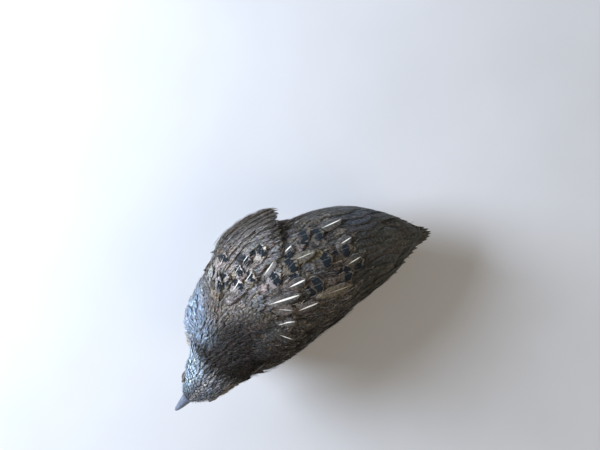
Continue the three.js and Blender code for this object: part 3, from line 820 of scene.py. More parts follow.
# %% Lines and spots seen from above
BUFF_LINES = [((-0.5, -14.0), (-14.8, -14.1)), ((-11.5, 5.0), (-25.6, 5.3))]
BUFF_REACH = 2.6
NAPE_MIDDLE = (54.0, 20.0)
NAPE_REACH = 39.5
BARB_HIGHLIGHT_SPOTS = [(21.0, -7.0), (17.0, -3.0), (1.0, -22.0), (-4.0, -24.0)]
BARB_HIGHLIGHT_REACH = 7.0
NOTCH_SHADE_SPOTS = [(-6.0, -30.5), (-2.0, -28.5)]
NOTCH_SHADE_REACH = 7.0


def along_line(points, start, end):
    """Distance from a line between two places, seen from above."""
    start, way = np.array(start), np.array(end) - np.array(start)
    share = np.clip((points[:, :2] - start) @ way / (way @ way), 0, 1)
    return np.linalg.norm(points[:, :2] - start - share[:, None] * way, axis=1)


def nape_distance(points):
    """Distance, seen from above, from the middle of the rounded form of head and neck."""
    return np.linalg.norm(points[:, :2] - np.array(NAPE_MIDDLE), axis=1)


def near(places, spots, reach):
    """How near places lie, from above, to the nearest of some spots: 1 at one and 0 beyond its reach."""
    apart = np.linalg.norm(places[:, None, :2] - np.asarray(spots, float)[None], axis=2).min(axis=1)
    return smoothstep(reach, reach * 0.6, apart)


# These spots carry painted highlights on fine barbs and painted shade in the notch.
print("spots with a colour of their own:", len(BARB_HIGHLIGHT_SPOTS) + len(NOTCH_SHADE_SPOTS))

# %% [markdown]
# ## The ground colour of any place
# Each colour is blended in over the ones before it, with soft edges, as the coat's own colours run into each
# other, and so is the painted light and shade. The order is from back to belly, then neck, then head.

# %% Ground colour by place
def coat_colour(points, normals):
    """The ground colour of the coat at places, from their position and the way they face."""
    x, y, z = points[:, 0], points[:, 1], points[:, 2]
    local = in_head(points)
    tone = np.tile(COAT["back"], (len(points), 1))

    def blend(name, share):
        tone[:] = tone * (1 - share[:, None]) + COAT[name] * share[:, None]

    # Back, shoulders and folded wings.
    on_top = smoothstep(50, 56, z)
    blend("shoulder", smoothstep(-2, -14, y) * smoothstep(-6, 8, x) * smoothstep(44, 60, z))
    # Painted shade over the left side of back and wing.
    blend("shade", smoothstep(10, 24, y) * smoothstep(-44, -24, x) * smoothstep(30, 44, z))
    for start, end in BUFF_LINES:
        blend("buff", 0.42 * smoothstep(BUFF_REACH, 0, along_line(points, start, end)) * on_top)
    # Painted highlights where fine barbs catch the light.
    blend("barb_highlight", 0.25 * near(points, BARB_HIGHLIGHT_SPOTS, BARB_HIGHLIGHT_REACH) * on_top)
    # Painted shade in the notch behind the right shoulder.
    blend("shade", 0.85 * near(points, NOTCH_SHADE_SPOTS, NOTCH_SHADE_REACH) * smoothstep(66, 60, z))
    blend("rear", smoothstep(-24, -40, x))
    # Painted sheen of sky light on the right wing.
    blend("sheen", 0.8 * np.exp(-(((x + 42) / 9) ** 2 + ((y + 22) / 4) ** 2)))
    # Flanks, breast and belly.
    low = smoothstep(34, 22, z)
    blend("flank", smoothstep(46, 34, z) * smoothstep(-30, 0, x) * 0.8)
    front = smoothstep(44, 56, x) * smoothstep(66, 54, z)
    blend("breast", np.maximum(front, low * smoothstep(0, 25, x)))
    under = smoothstep(16, 6, z)
    blend("belly", under + (1 - under) * smoothstep(-0.2, -0.9, normals[:, 2]))
    # Nape and neck. The dark line where the collar ends is partly dark feather bases and partly painted
    # shade; the neck's left side is painted in shade and its right side painted lit.
    neck = smoothstep(NAPE_REACH + 2, NAPE_REACH - 4, nape_distance(points)) * smoothstep(50, 60, z)
    blend("nape", neck * 0.9)
    # Partly painted shade: a dark line just outside the collar.
    rim = np.exp(-(((nape_distance(points) - NAPE_REACH - 1.5) / 1.8) ** 2))
    blend("shade", 0.75 * rim * smoothstep(0, 8, y) * smoothstep(50, 58, z))
    # Painted shade on the neck's left side and painted light on its right.
    blend("neck_left_shaded", neck * smoothstep(20, 32, y) * 0.9)
    blend("neck_right_lit", neck * smoothstep(9, -2, y) * 0.85)
    # Painted skylight on the right side of the breast.
    blend("breast_right_skylight", smoothstep(40, 50, x) * smoothstep(14, 4, y) * smoothstep(24, 40, z) * 0.9)
    # The head: crown, painted skylight on the right temple, a cheek made paler partly by painted light, two
    # brow lines and throat.
    head = head_share(points)
    blend("crown", head)
    # Painted skylight on the right side of the head.
    blend("temple_skylight", head * smoothstep(-2.5, -6.5, local[:, 1]))
    blend("brow", head * np.exp(-((local[:, 1] / 1.0) ** 2)) * smoothstep(3, 6, local[:, 2]) * 0.75)
    # Partly painted light: the shaded left cheek is made paler.
    blend("cheek", head * smoothstep(2, 6, local[:, 1]) * smoothstep(10, 5, local[:, 2]))
    brow = np.exp(-(((local[:, 1] - 7.0) / 1.6) ** 2 + ((local[:, 2] - 6.2) / 1.8) ** 2))
    blend("brow", head * brow * smoothstep(-12, -4, local[:, 0]) * 0.7)
    blend("throat", head * smoothstep(-3.5, -7, local[:, 2]))
    return tone


print("colour on the belly:", coat_colour(np.array([[0, 0, 2.0]]), np.array([[0, 0, -1.0]]))[0].round(2))

# %% [markdown]
# ## Painting a batch of feathers
# No two feathers of a bird are quite alike. Each gets the ground colour of its place, made a little
# lighter or darker, and warmer or cooler, at random. The strengths of its marks are stored beside it.

# %% Marks of each feather
# How a warmer and a greener feather differ from the ground, in red, green and blue.
COLOUR_DRIFTS = np.array([[1.0, 0.1, -1.0], [-0.2, 0.35, -0.3]])


def paint(batch, streak=0.0, patch=0.0, bars=0.5, fringe=0.4, spread_of=0.10, warm_of=0.05):
    """Adds the markings of each feather to a batch: shares from 0 to 1 of each kind of mark."""
    count = len(batch["points"])
    ground = coat_colour(batch["middle"], batch["normal"]) * np.exp(rng.normal(0, spread_of, (count, 1)))
    drift = np.clip(rng.normal(0, warm_of, (count, 2)), -1.5 * warm_of, 1.5 * warm_of) @ COLOUR_DRIFTS
    batch["ground"] = np.maximum(ground * (1 + drift), 0)
    kinds = [np.broadcast_to(np.asarray(kind, float), (count,)) for kind in (streak, patch, bars, fringe)]
    batch["kinds"] = np.stack(kinds, 1)
    return batch


print("marks of a feather: streak, dark squares, bars and fringe")

# %% [markdown]
# ## Joining feathers into a coat piece
# Thousands of separate objects would be slow, so all feathers of a region become one mesh. Each keeps a
# map from its root to its tip for its markings. A second map, OFBake, sets every feather as a small
# patch at its root's place on an unwrap of the body, so that its colours can be baked.

# %% Coat pieces and their maps
BAKE_PATCH = 0.003
LOWEST_FEATHER = 0.15
# Lengths and half widths are stored as shares of these, in millimetres.
LENGTH_UNIT = 40.0
HALF_UNIT = 10.0
# Body and head are two strips of the bake map, each with its start and its width.
BODY_STRIP = (0.02, 0.64)
HEAD_STRIP = (0.70, 0.28)
STRIP_MARGIN, STRIP_HEIGHT = 0.02, 0.96


def unwrap(points):
    """A flat layout of the bird's shape: the body by length and turn, and the head beside it."""
    x, y, z = points.T
    local = in_head(points)
    on_head = head_share(points) > 0.5
    body_u = BODY_STRIP[0] + BODY_STRIP[1] * np.clip((x + 80) / 145, 0, 1)
    head_u = HEAD_STRIP[0] + HEAD_STRIP[1] * np.clip((local[:, 0] + 16) / 34, 0, 1)
    around = np.where(on_head, np.arctan2(local[:, 2], local[:, 1]), np.arctan2(z - 36, y - 3))
    v = STRIP_MARGIN + STRIP_HEIGHT * (around / (2 * math.pi) + 0.5)
    return np.stack([np.where(on_head, head_u, body_u), v], 1)


def coat_piece(name, batches, material, slot):
    """One object from batches of painted feathers."""
    points, faces, shape_map, bake_map, ground, kinds, measure = [], [], [], [], [], [], []
    start = 0
    for batch in batches:
        count, each = batch["points"].shape[:2]
        points.append(batch["points"].reshape(-1, 3))
        shift = start + np.arange(count)[:, None, None] * each
        faces.append((batch["faces"][None] + shift).reshape(-1, 4))
        start += count * each
        shape_map.append(np.tile(batch["corner"], (count, 1)))
        base = unwrap(batch["root"])[:, None] + BAKE_PATCH * (batch["corner"][None] - 0.5)
        bake_map.append(base.reshape(-1, 2))
        ground.append(np.repeat(np.hstack([batch["ground"], np.ones((count, 1))]), each, axis=0))
        kinds.append(np.repeat(batch["kinds"], each, axis=0))
        sizes = [batch["length"] / LENGTH_UNIT, batch["half"] / HALF_UNIT, rng.random(count)]
        measure.append(np.repeat(np.stack(sizes, 1), each, axis=0))
    points = np.vstack(points)
    points[:, 2] = np.maximum(points[:, 2], LOWEST_FEATHER)
    made = build_mesh(
        name, points, np.vstack(faces), material, slot,
        maps={"Shape": np.vstack(shape_map), "OFBake": np.vstack(bake_map)},
        values={"ground": np.vstack(ground), "kinds": np.vstack(kinds), "measure": np.vstack(measure)},
    )
    total = sum(len(batch["points"]) for batch in batches)
    print(name, "has", total, "feathers and barbs,", 2 * len(made.data.polygons), "triangles")
    return made


print("each feather's patch on the bake map:", BAKE_PATCH)

# %% [markdown]
# ## Where a point lies on its feather
# The marks of a feather belong to the feather: they run with its shaft and stop at its edge. So the
# material reads each feather's own map and size. A pattern laid over the whole bird would run straight on
# from one feather to the next and give away that it is only paint.

# %% The feather's own map
MATHS = "ShaderNodeMath"


def feather_map(tree):
    """Where a point lies on its feather: out from the shaft, along it, and both in millimetres."""
    shape = add_node(tree, "ShaderNodeUVMap", uv_map="Shape")
    split = add_node(tree, "ShaderNodeSeparateXYZ", {0: shape.outputs[0]})
    measure = add_node(tree, "ShaderNodeAttribute", attribute_name="measure")
    sizes = add_node(tree, "ShaderNodeSeparateXYZ", {0: measure.outputs["Vector"]})
    side = add_node(tree, MATHS, {0: split.outputs[0], 1: 2.0, 2: -1.0}, operation="MULTIPLY_ADD")
    out = add_node(tree, MATHS, {0: side.outputs[0]}, operation="ABSOLUTE").outputs[0]
    along = split.outputs[1]
    length = add_node(tree, MATHS, {0: sizes.outputs[0], 1: LENGTH_UNIT}, operation="MULTIPLY")
    half = add_node(tree, MATHS, {0: sizes.outputs[1], 1: HALF_UNIT}, operation="MULTIPLY")
    from_root = add_node(tree, MATHS, {0: along, 1: length.outputs[0]}, operation="MULTIPLY").outputs[0]
    from_shaft = add_node(tree, MATHS, {0: out, 1: half.outputs[0]}, operation="MULTIPLY").outputs[0]
    return {"out": out, "along": along, "from_root": from_root, "from_shaft": from_shaft,
            "lot": sizes.outputs[2]}


print("a feather's length is stored in units of", LENGTH_UNIT, "mm")

# %% [markdown]
# ## Ground and bars
# A quail's brown is a mixture of fine dark and light flecks with warmer blotches. Over it run wavy bars,
# dark and pale by turns and a little over two millimetres apart, which bend along each feather's vanes.

# %% Ground and bars
STEP = "ShaderNodeMapRange"
BLEND = "ShaderNodeMix"
SMOOTH = {"interpolation_type": "SMOOTHSTEP"}
MULTIPLY = {"data_type": "RGBA", "blend_type": "MULTIPLY"}
# The places of a colour mix's two colours among its inputs, and of its result among its outputs.
FIRST, SECOND, MIXED = 6, 7, 2
BAR_SPACING = 2.3
MOTTLE_SIZE = 1.2
BLOTCH_SIZE = 6.0
BAR_COLOUR = "#17130f"
BAR_PALE = "#80714f"
BLOTCH_WARM = "#5d3d2b"
# What the ground is multiplied by in dark and in pale flecks.
DARK_FLECK = (0.55, 0.54, 0.55, 1)
PALE_FLECK = (1.55, 1.52, 1.46, 1)
# How far a bar bends between shaft and edge, and how far it wavers, in bars.
BAR_BEND = -0.9
BAR_WAVER = 2.2


def tinted(tree, colour, tint, where, strength):
    """A colour with a tint over it where a pattern is, at the feather's own strength."""
    share = add_node(tree, MATHS, {0: where, 1: strength}, operation="MULTIPLY").outputs[0]
    mix = {0: share, FIRST: colour, SECOND: linear(tint)}
    return add_node(tree, BLEND, mix, data_type="RGBA").outputs[MIXED]


def mottled_ground(tree, noise, bars):
    """The ground colour, broken up by fine light and dark mottling and by warmer blotches."""
    ground = add_node(tree, "ShaderNodeAttribute", attribute_name="ground").outputs["Color"]
    place = add_node(tree, "ShaderNodeNewGeometry").outputs["Position"]
    blotch = add_node(tree, "ShaderNodeTexNoise", {"Vector": place, "Scale": 1 / (BLOTCH_SIZE * MM)})
    shade = add_node(tree, STEP, {0: noise, 1: 0.34, 2: 0.66}, **SMOOTH)
    darker = add_node(tree, BLEND, {0: 1.0, FIRST: ground, SECOND: DARK_FLECK}, **MULTIPLY).outputs[MIXED]
    lighter = add_node(tree, BLEND, {0: 1.0, FIRST: ground, SECOND: PALE_FLECK}, **MULTIPLY).outputs[MIXED]
    flecked = {0: shade.outputs[0], FIRST: darker, SECOND: lighter}
    mixed = add_node(tree, BLEND, flecked, data_type="RGBA")
    warm = add_node(tree, STEP, {0: blotch.outputs[0], 1: 0.50, 2: 0.66, 4: 0.45}, **SMOOTH)
    return tinted(tree, mixed.outputs[MIXED], BLOTCH_WARM, warm.outputs[0], bars)


def barred(tree, colour, at, noise, bars):
    """Wavy bars, dark and pale by turns, that run across both vanes and bend towards the tip."""
    bend = add_node(tree, MATHS, {0: at["out"], 1: BAR_BEND, 2: at["lot"]}, operation="MULTIPLY_ADD")
    wobble = add_node(tree, MATHS, {0: noise, 1: BAR_WAVER, 2: bend.outputs[0]}, operation="MULTIPLY_ADD")
    phase = add_node(tree, MATHS, {0: at["from_root"], 1: 1 / BAR_SPACING, 2: wobble.outputs[0]},
                     operation="MULTIPLY_ADD")
    turn_of = add_node(tree, MATHS, {0: phase.outputs[0], 1: 2 * math.pi}, operation="MULTIPLY")
    wave = add_node(tree, MATHS, {0: turn_of.outputs[0]}, operation="SINE").outputs[0]
    for tint, low, high, strength in ((BAR_COLOUR, 0.1, 0.8, 0.8), (BAR_PALE, -0.5, -0.95, 0.55)):
        bar = add_node(tree, STEP, {0: wave, 1: low, 2: high, 4: strength}, **SMOOTH)
        colour = tinted(tree, colour, tint, bar.outputs[0], bars)
    return colour


print("bars stand", BAR_SPACING, "mm apart")

# %% [markdown]
# ## Squares, fringe and streak
# These mark a quail's back: blue-black squares on both vanes, a worn pale edge and a cream line along the
# shaft. How strong each is comes from the feather, so that one material serves the whole coat.

# %% Squares, fringe and streak
STREAK_HALF = 0.46
STREAK_COLOUR = "#efe6d2"
PATCH_COLOUR = "#12181b"
FRINGE_COLOUR = "#a89a82"


def between(tree, source, low, high):
    """The two soft edges of a band, whose product is 1 inside it: each is (start, end)."""
    rise = add_node(tree, STEP, {0: source, 1: low[0], 2: low[1]}, **SMOOTH)
    fall = add_node(tree, STEP, {0: source, 1: high[0], 2: high[1]}, **SMOOTH)
    both = {0: rise.outputs[0], 1: fall.outputs[0]}
    return add_node(tree, MATHS, both, operation="MULTIPLY").outputs[0]


def patched(tree, colour, at, noise, patch):
    """Dark squares beside the shaft, in the half of the feather that shows."""
    ragged = add_node(tree, MATHS, {0: noise, 1: 0.8, 2: -0.4}, operation="MULTIPLY_ADD").outputs[0]
    out = add_node(tree, MATHS, {0: at["out"], 1: ragged}, operation="ADD").outputs[0]
    along = add_node(tree, MATHS, {0: at["along"], 1: ragged}, operation="ADD").outputs[0]
    wide = add_node(tree, STEP, {0: out, 1: 0.94, 2: 0.84}, **SMOOTH).outputs[0]
    long = between(tree, along, (0.50, 0.56), (0.88, 0.82))
    square = add_node(tree, MATHS, {0: wide, 1: long}, operation="MULTIPLY")
    return tinted(tree, colour, PATCH_COLOUR, square.outputs[0], patch)


def fringed(tree, colour, at, noise, fringe):
    """A paler, worn edge."""
    worn = add_node(tree, MATHS, {0: noise, 1: 0.3, 2: -0.15}, operation="MULTIPLY_ADD").outputs[0]
    out = add_node(tree, MATHS, {0: at["out"], 1: worn}, operation="ADD").outputs[0]
    sides = add_node(tree, STEP, {0: out, 1: 0.82, 2: 0.98}, **SMOOTH)
    tip = add_node(tree, STEP, {0: at["along"], 1: 0.88, 2: 0.98}, **SMOOTH)
    rim = add_node(tree, MATHS, {0: sides.outputs[0], 1: tip.outputs[0]}, operation="MAXIMUM")
    return tinted(tree, colour, FRINGE_COLOUR, rim.outputs[0], fringe)


def streaked(tree, colour, at, strength):
    """A pale line along the shaft that tapers to both ends. A stronger one is wider too."""
    run = between(tree, at["along"], (0.14, 0.62), (1.0, 0.74))
    wide = add_node(tree, MATHS, {0: strength, 1: STREAK_HALF}, operation="MULTIPLY")
    half = add_node(tree, MATHS, {0: run, 1: wide.outputs[0]}, operation="MULTIPLY")
    edge = add_node(tree, MATHS, {0: half.outputs[0], 1: at["from_shaft"]}, operation="SUBTRACT")
    inside = add_node(tree, STEP, {0: edge.outputs[0], 1: -0.12, 2: 0.08}, **SMOOTH)
    shown = add_node(tree, STEP, {0: half.outputs[0], 1: 0.0, 2: 0.16}, **SMOOTH)
    return tinted(tree, colour, STREAK_COLOUR, inside.outputs[0], shown.outputs[0])


print("widest streak in mm:", 2 * STREAK_HALF)

# %% [markdown]
# ## Feather keratin as a material
# Feathers are keratin: dull, with a faint silky gloss along the barbs and no metal shine. The vane is
# ribbed by its barbs. Real barbs stand about 0.3 mm apart. They are drawn at 0.9 mm, because finer ones
# can't show at this size. The flight feathers are firmer and smoother than the soft body feathers.

# %% Plumage material
BARB_SPACING = 0.9
BARB_SLANT = -0.8
BARB_DEPTH = 0.06
BARB_SHADE = 0.14
KERATIN_IOR = 1.54


def plumage_material(name, roughness, sheen):
    """Keratin in barbs: a dull surface, finely ribbed, that brightens a little where it turns away."""
    material, tree, shader = new_material(name)
    at = feather_map(tree)
    kinds = add_node(tree, "ShaderNodeAttribute", attribute_name="kinds")
    kind = add_node(tree, "ShaderNodeSeparateColor", {0: kinds.outputs["Color"]})
    place = add_node(tree, "ShaderNodeNewGeometry").outputs["Position"]
    mottle = add_node(tree, "ShaderNodeTexNoise", {
        "Vector": place, "Scale": 1 / (MOTTLE_SIZE * MM), "Detail": 3.0, "Roughness": 0.62,
    })
    noise, bars = mottle.outputs[0], kind.outputs[2]
    colour = mottled_ground(tree, noise, bars)
    colour = barred(tree, colour, at, noise, bars)
    colour = patched(tree, colour, at, noise, kind.outputs[1])
    colour = fringed(tree, colour, at, noise, kinds.outputs["Alpha"])
    colour = streaked(tree, colour, at, kind.outputs[0])
    slope = add_node(tree, MATHS, {0: at["from_shaft"], 1: BARB_SLANT, 2: at["from_root"]},
                     operation="MULTIPLY_ADD")
    turn_of = add_node(tree, MATHS, {0: slope.outputs[0], 1: 2 * math.pi / BARB_SPACING},
                       operation="MULTIPLY")
    barb = add_node(tree, MATHS, {0: turn_of.outputs[0]}, operation="SINE").outputs[0]
    # Painted shade: the colour is darkened in the barbs' grooves, along the same waves as the relief.
    grain = add_node(tree, MATHS, {0: barb, 1: BARB_SHADE, 2: 1.0}, operation="MULTIPLY_ADD").outputs[0]
    grey = add_node(tree, "ShaderNodeCombineColor", {0: grain, 1: grain, 2: grain}).outputs[0]
    ribbed = add_node(tree, BLEND, {0: 1.0, FIRST: colour, SECOND: grey}, **MULTIPLY)
    relief = add_node(tree, "ShaderNodeBump", {
        "Height": barb, "Strength": 0.35, "Distance": BARB_DEPTH * MM,
    })
    outputs = {"Base Color": ribbed.outputs[MIXED], "Normal": relief.outputs[0]}
    close_material(tree, shader, outputs, {
        "Roughness": roughness, "IOR": KERATIN_IOR, "Specular IOR Level": 0.15,
        "Sheen Weight": sheen, "Sheen Roughness": 0.45,
    })
    return material


plumage = plumage_material("feather_keratin", roughness=0.78, sheen=0.10)
flight_plumage = plumage_material("flight_feather_keratin", roughness=0.65, sheen=0.05)
print("barb spacing drawn in mm:", BARB_SPACING)

# %% [markdown]
# ## The skin's own material
# Between feathers the down and skin beneath are darker than the coat. The skin takes the same ground colours
# as the feathers above it, darkened, with a fine mottling. The darkening is partly the down's own tone and
# partly painted shade for the gaps. A plain dark skin would show as black gaps wherever two feathers part.

# %% Skin object
SKIN_SHADE = 0.6
DOWN_SHADE = (0.35, 0.33, 0.32, 1)
DOWN_DEPTH = 0.3


def skin_material():
    """Down over skin: quite dull, soft and uneven, so that gaps in the coat read as shade."""
    material, tree, shader = new_material("downy_skin")
    ground = add_node(tree, "ShaderNodeAttribute", attribute_name="ground").outputs["Color"]
    place = add_node(tree, "ShaderNodeNewGeometry").outputs["Position"]
    down = add_node(tree, "ShaderNodeTexNoise", {
        "Vector": place, "Scale": 1 / (MOTTLE_SIZE * MM), "Detail": 4.0,
    }).outputs[0]
    dark = add_node(tree, BLEND, {0: down, FIRST: ground, SECOND: DOWN_SHADE}, **MULTIPLY)
    relief = add_node(tree, "ShaderNodeBump", {
        "Height": down, "Strength": 0.5, "Distance": DOWN_DEPTH * MM,
    })
    outputs = {"Base Color": dark.outputs[MIXED], "Normal": relief.outputs[0]}
    close_material(tree, shader, outputs, {"Roughness": 0.85})
    return material


point_normals = np.zeros_like(skin_points)
for k in range(4):
    np.add.at(point_normals, skin_faces[:, k], face_crosses)
skin_ground = coat_colour(skin_points, unit(point_normals)) * SKIN_SHADE
skin = build_mesh(
    "skin", skin_points, skin_faces, skin_material(), "breast_feathers",
    values={"ground": np.hstack([skin_ground, np.ones((len(skin_points), 1))])},
)
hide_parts("torso", "neck", "head", "thigh_left", "thigh_right")
print("skin has", 2 * len(skin_faces), "triangles")

# %% [markdown]
# ## Regions of the skin
# The coat changes from region to region, so each face of the skin is given to one: head, neck, underside,
# back or right shoulder. The wing feathers have rows of their own. Regions by rule follow the skin when a
# form is changed, which a selection made by hand wouldn't.

# %% Sorting the skin's faces into regions
EYE_RADIUS = 3.6
EYE_AT = (4.2, 6.9, 2.1)
EYE_LOOK = (0.3, 0.95, 0.1)
EYE_CLEAR = 3.3
BILL_BASE = 16.2


def eye_distance(points, side):
    """Distance of places from the axis that an eye looks along."""
    local = in_head(points) - on_side(EYE_AT, side)
    look = unit(on_side(EYE_LOOK, side))
    along = local @ look
    off = np.linalg.norm(local - along[:, None] * look, axis=1)
    return np.where(along > 0, off, 99.0)


def nearest_eye(points):
    """Distance of places from the nearer of the two eyes' axes."""
    return np.minimum(eye_distance(points, LEFT), eye_distance(points, RIGHT))


def rise_of(points, side):
    """Degrees that a place rises from the side of the folded form."""
    place = np.interp(points[:, 0], folded_centre[:, 0], np.arange(FOLDED_STEPS)).astype(int)
    off = points - folded_centre[place]
    wide = np.sum(off * folded_across[place], axis=1) / folded_size[place, 0] * side
    tall = np.sum(off * folded_over[place], axis=1) / folded_size[place, 1]
    return np.degrees(np.arctan2(tall, wide))


is_head = head_share(face_middles) > 0.45
bare = (nearest_eye(face_middles) < EYE_CLEAR) | (in_head(face_middles)[:, 0] > BILL_BASE) & is_head
x, y, z = face_middles.T
is_neck = ~is_head & (nape_distance(face_middles) < NAPE_REACH) & (z > 56 - 0.9 * np.maximum(x - 48, 0))
rise_right = rise_of(face_middles, RIGHT)
lowest_rise = np.minimum(rise_right, rise_of(face_middles, LEFT))
is_lobe = ~is_head & ~is_neck & (x > 2) & (x < 31) & (rise_right > 6) & (rise_right < 48)
is_back = ~is_head & ~is_neck & ~is_lobe & (lowest_rise > 18) & (x < 44) & (z > 40)
is_under = ~is_head & ~is_neck & ~is_lobe & ~is_back & (z > 0.8)
regions = {"head": is_head, "neck": is_neck, "shoulder": is_lobe, "back": is_back, "underside": is_under}
for label, region in regions.items():
    print(label, "region in square centimetres:", round(face_areas[region].sum() / 100, 1))

# %% [markdown]
# ## Loose barbs
# The soft coat of a bird isn't a set of clean-edged tiles: the ends of the barbs come loose and lie over
# the next feathers like fine hair. Here they are slivers up to 0.3 mm wide, of many shades, scattered over
# each region and turned a little every way. Real ones are far thinner, but then they couldn't show at this
# size and would only cost triangles.

# %% Slivers over the coat
# Seen from above: the blue-black spots of back and shoulder. The painted highlights on fine barbs are placed
# further up.
BACK_SPOTS = [
    (-17.7, -20.4), (-11.2, -22.4), (-1.0, -17.8), (-10.0, 0.0), (7.0, 4.6), (-27.9, -11.6), (-31.7, -3.3),
    (-24.9, -0.1), (7.8, -8.8), (-1.8, -10.8), (-17.3, -9.6),
]
LOBE_SPOTS = [
    (12.4, -25.2), (21.1, -22.9), (26.0, -19.6), (21.6, -15.5), (33.8, -16.8), (27.8, -13.7), (31.0, -25.4),
]
SPOTS = BACK_SPOTS + LOBE_SPOTS
SPOT_REACH = 4.4
WISP_HALF = 0.15


def wisp_batch(path, normal, half, spread_of):
    """Painted slivers. Some near the nape and by the shoulder get painted highlights, and few lie on dark
    spots.
    """
    count = len(path)
    keep = nearest_eye(path[:, -1]) > EYE_CLEAR + 0.2
    keep &= rng.random(count) > 0.95 * near(path[:, 2], SPOTS, SPOT_REACH) * (path[:, 2, 2] > 50)
    path, normal = path[keep], normal[keep]
    batch = plume(path, normal, np.full(len(path), half), "wisp", columns=3, thick=0.05)
    paint(batch, bars=0, fringe=0, spread_of=spread_of, warm_of=0.12)
    # Painted highlight: some slivers near those spots are made paler, as barbs that catch the light.
    highlighted = near(path[:, 2], BARB_HIGHLIGHT_SPOTS, BARB_HIGHLIGHT_REACH) * (path[:, 2, 2] > 50) * rng.random(len(path))
    batch["ground"] += highlighted[:, None] * (COAT["barb_highlight"] - batch["ground"])
    return batch


def wisps(region, spacing, lengths, lifts, spread_of, half=WISP_HALF, wander=14):
    """Fine slivers over a region of the skin, ready for its coat piece."""
    roots = scatter(region, spacing)
    count = len(roots)
    low, high = (lift * rng.uniform(0.6, 1.3, count) for lift in lifts)
    path, normal = lay(roots, rng.uniform(*lengths, count), (low, high), rows=4, stiff=0.4, wander=wander)
    return wisp_batch(path, normal, half, spread_of)


def wisps_over(batch, count, spread_of=0.5, rise=(0.1, 0.6)):
    """Slivers over a batch of feathers, each along a part of one of them and beside its shaft."""
    which = rng.integers(0, len(batch["path"]), count)[:, None]
    rows = batch["path"].shape[1]
    step = rng.uniform(0.1, 0.58, (count, 1)) + rng.uniform(0.15, 0.3, (count, 1)) * np.linspace(0, 1, 4)
    place = step * (rows - 1.001)
    low, share = place.astype(int), (place % 1)[..., None]

    def along(table):
        return table[which, low] * (1 - share) + table[which, low + 1] * share

    path, up = along(batch["path"]), along(batch["up"])
    across = unit(np.cross(up, np.gradient(path, axis=1)))
    off = rng.uniform(-0.85, 0.85, (count, 1, 1))
    off = off + rng.normal(0, 1.2, (count, 1, 1)) * (step - step[:, :1])[..., None]
    path = path + across * off * batch["half"][which][..., None] + up * rng.uniform(*rise, (count, 1, 1))
    return wisp_batch(path, up, WISP_HALF, spread_of)


print("a sliver is", 2 * WISP_HALF, "mm wide at most")

# %% [markdown]
# ## Breast, belly and flanks
# The underside carries soft, rounded contour feathers, each overlapping the next like a roof tile.
# They are buff with dark spots on the breast, pale on the belly, and browner with white shafts on the
# flanks. Placing each by hand would take days, so they are rooted evenly and follow the lie.

# %% Contour feathers of the underside
UNDER_SPACING = 3.1
roots = scatter(is_under, UNDER_SPACING)
count = len(roots)
lengths = rng.uniform(9.0, 11.5, count) * (1 - 0.2 * smoothstep(40, 56, roots[:, 0]))
path, normal = lay(roots, lengths, (0.1, rng.uniform(0.9, 1.5, count)), rows=6, stiff=0.12)
under_coat = plume(path, normal, lengths * 0.30, fray=0.22, camber=0.2)
on_flank = smoothstep(12, 22, roots[:, 2]) * smoothstep(46, 36, roots[:, 0])
on_breast = smoothstep(36, 50, roots[:, 0])
streak = on_flank * 0.35 * (rng.random(count) < 0.5)
paint(under_coat, streak, on_breast * 0.5 + on_flank * 0.5, bars=on_flank * 0.5, fringe=0.35)
under_wisps = wisps(is_under & (z > 14), spacing=2.0, lengths=(3, 5), lifts=(0.5, 1.5), spread_of=0.35)
coat_piece("underside_coat", [under_coat, under_wisps], plumage, "breast_feathers")

# %% [markdown]
# ## Head feathers
# The smallest feathers grow on the face, little more than a millimetre apart, and lengthen over the
# crown to the nape. Their pale edges give the dark crown its fine scaled look. A faint pale line runs
# along its middle. No feather may lie over an eye, so those that would are left out.

# %% Feathers of the head
HEAD_SPACING = 1.15
MIDDLE_LINE_HALF = 1.0
head_roots = scatter(is_head & ~bare, HEAD_SPACING)
local = in_head(head_roots)
back_share = smoothstep(10, -8, local[:, 0])
count = len(head_roots)
lengths = (2.0 + 3.0 * back_share) * rng.uniform(0.85, 1.15, count)
path, normal = lay(head_roots, lengths, (0.1, (0.5 + 0.7 * back_share) * rng.uniform(0.7, 1.3, count)),
                   rows=4, wander=9)
clear = nearest_eye(path[:, -1]) > EYE_CLEAR - 0.3
path, normal, lengths, local = path[clear], normal[clear], lengths[clear], local[clear]
head_coat = plume(path, normal, lengths * 0.24 + 0.25, columns=3, thick=0.08, fray=0.25, camber=0.2)
middle_line = np.exp(-((local[:, 1] / MIDDLE_LINE_HALF) ** 2)) * (local[:, 2] > 4)
on_crown = local[:, 2] > 2
paint(head_coat, streak=middle_line * 0.25, patch=0.3 * on_crown, bars=0.3, fringe=0.4, spread_of=0.28)
head_wisps = wisps(is_head & ~bare, spacing=0.85, lengths=(1.4, 3.0), lifts=(0.4, 1.1), spread_of=0.4,
                   half=0.10, wander=20)
coat_piece("head_coat", [head_coat, head_wisps], plumage, "head_feathers")

# %% [markdown]
# ## Neck feathers
# Neck feathers are soft, narrow and a little longer. They hide where head and trunk meet and blend one
# coat into the other. With the head turned and lowered they bunch up, so they stand prouder towards the
# shoulders. That gives the collar its soft rim without a form of its own.

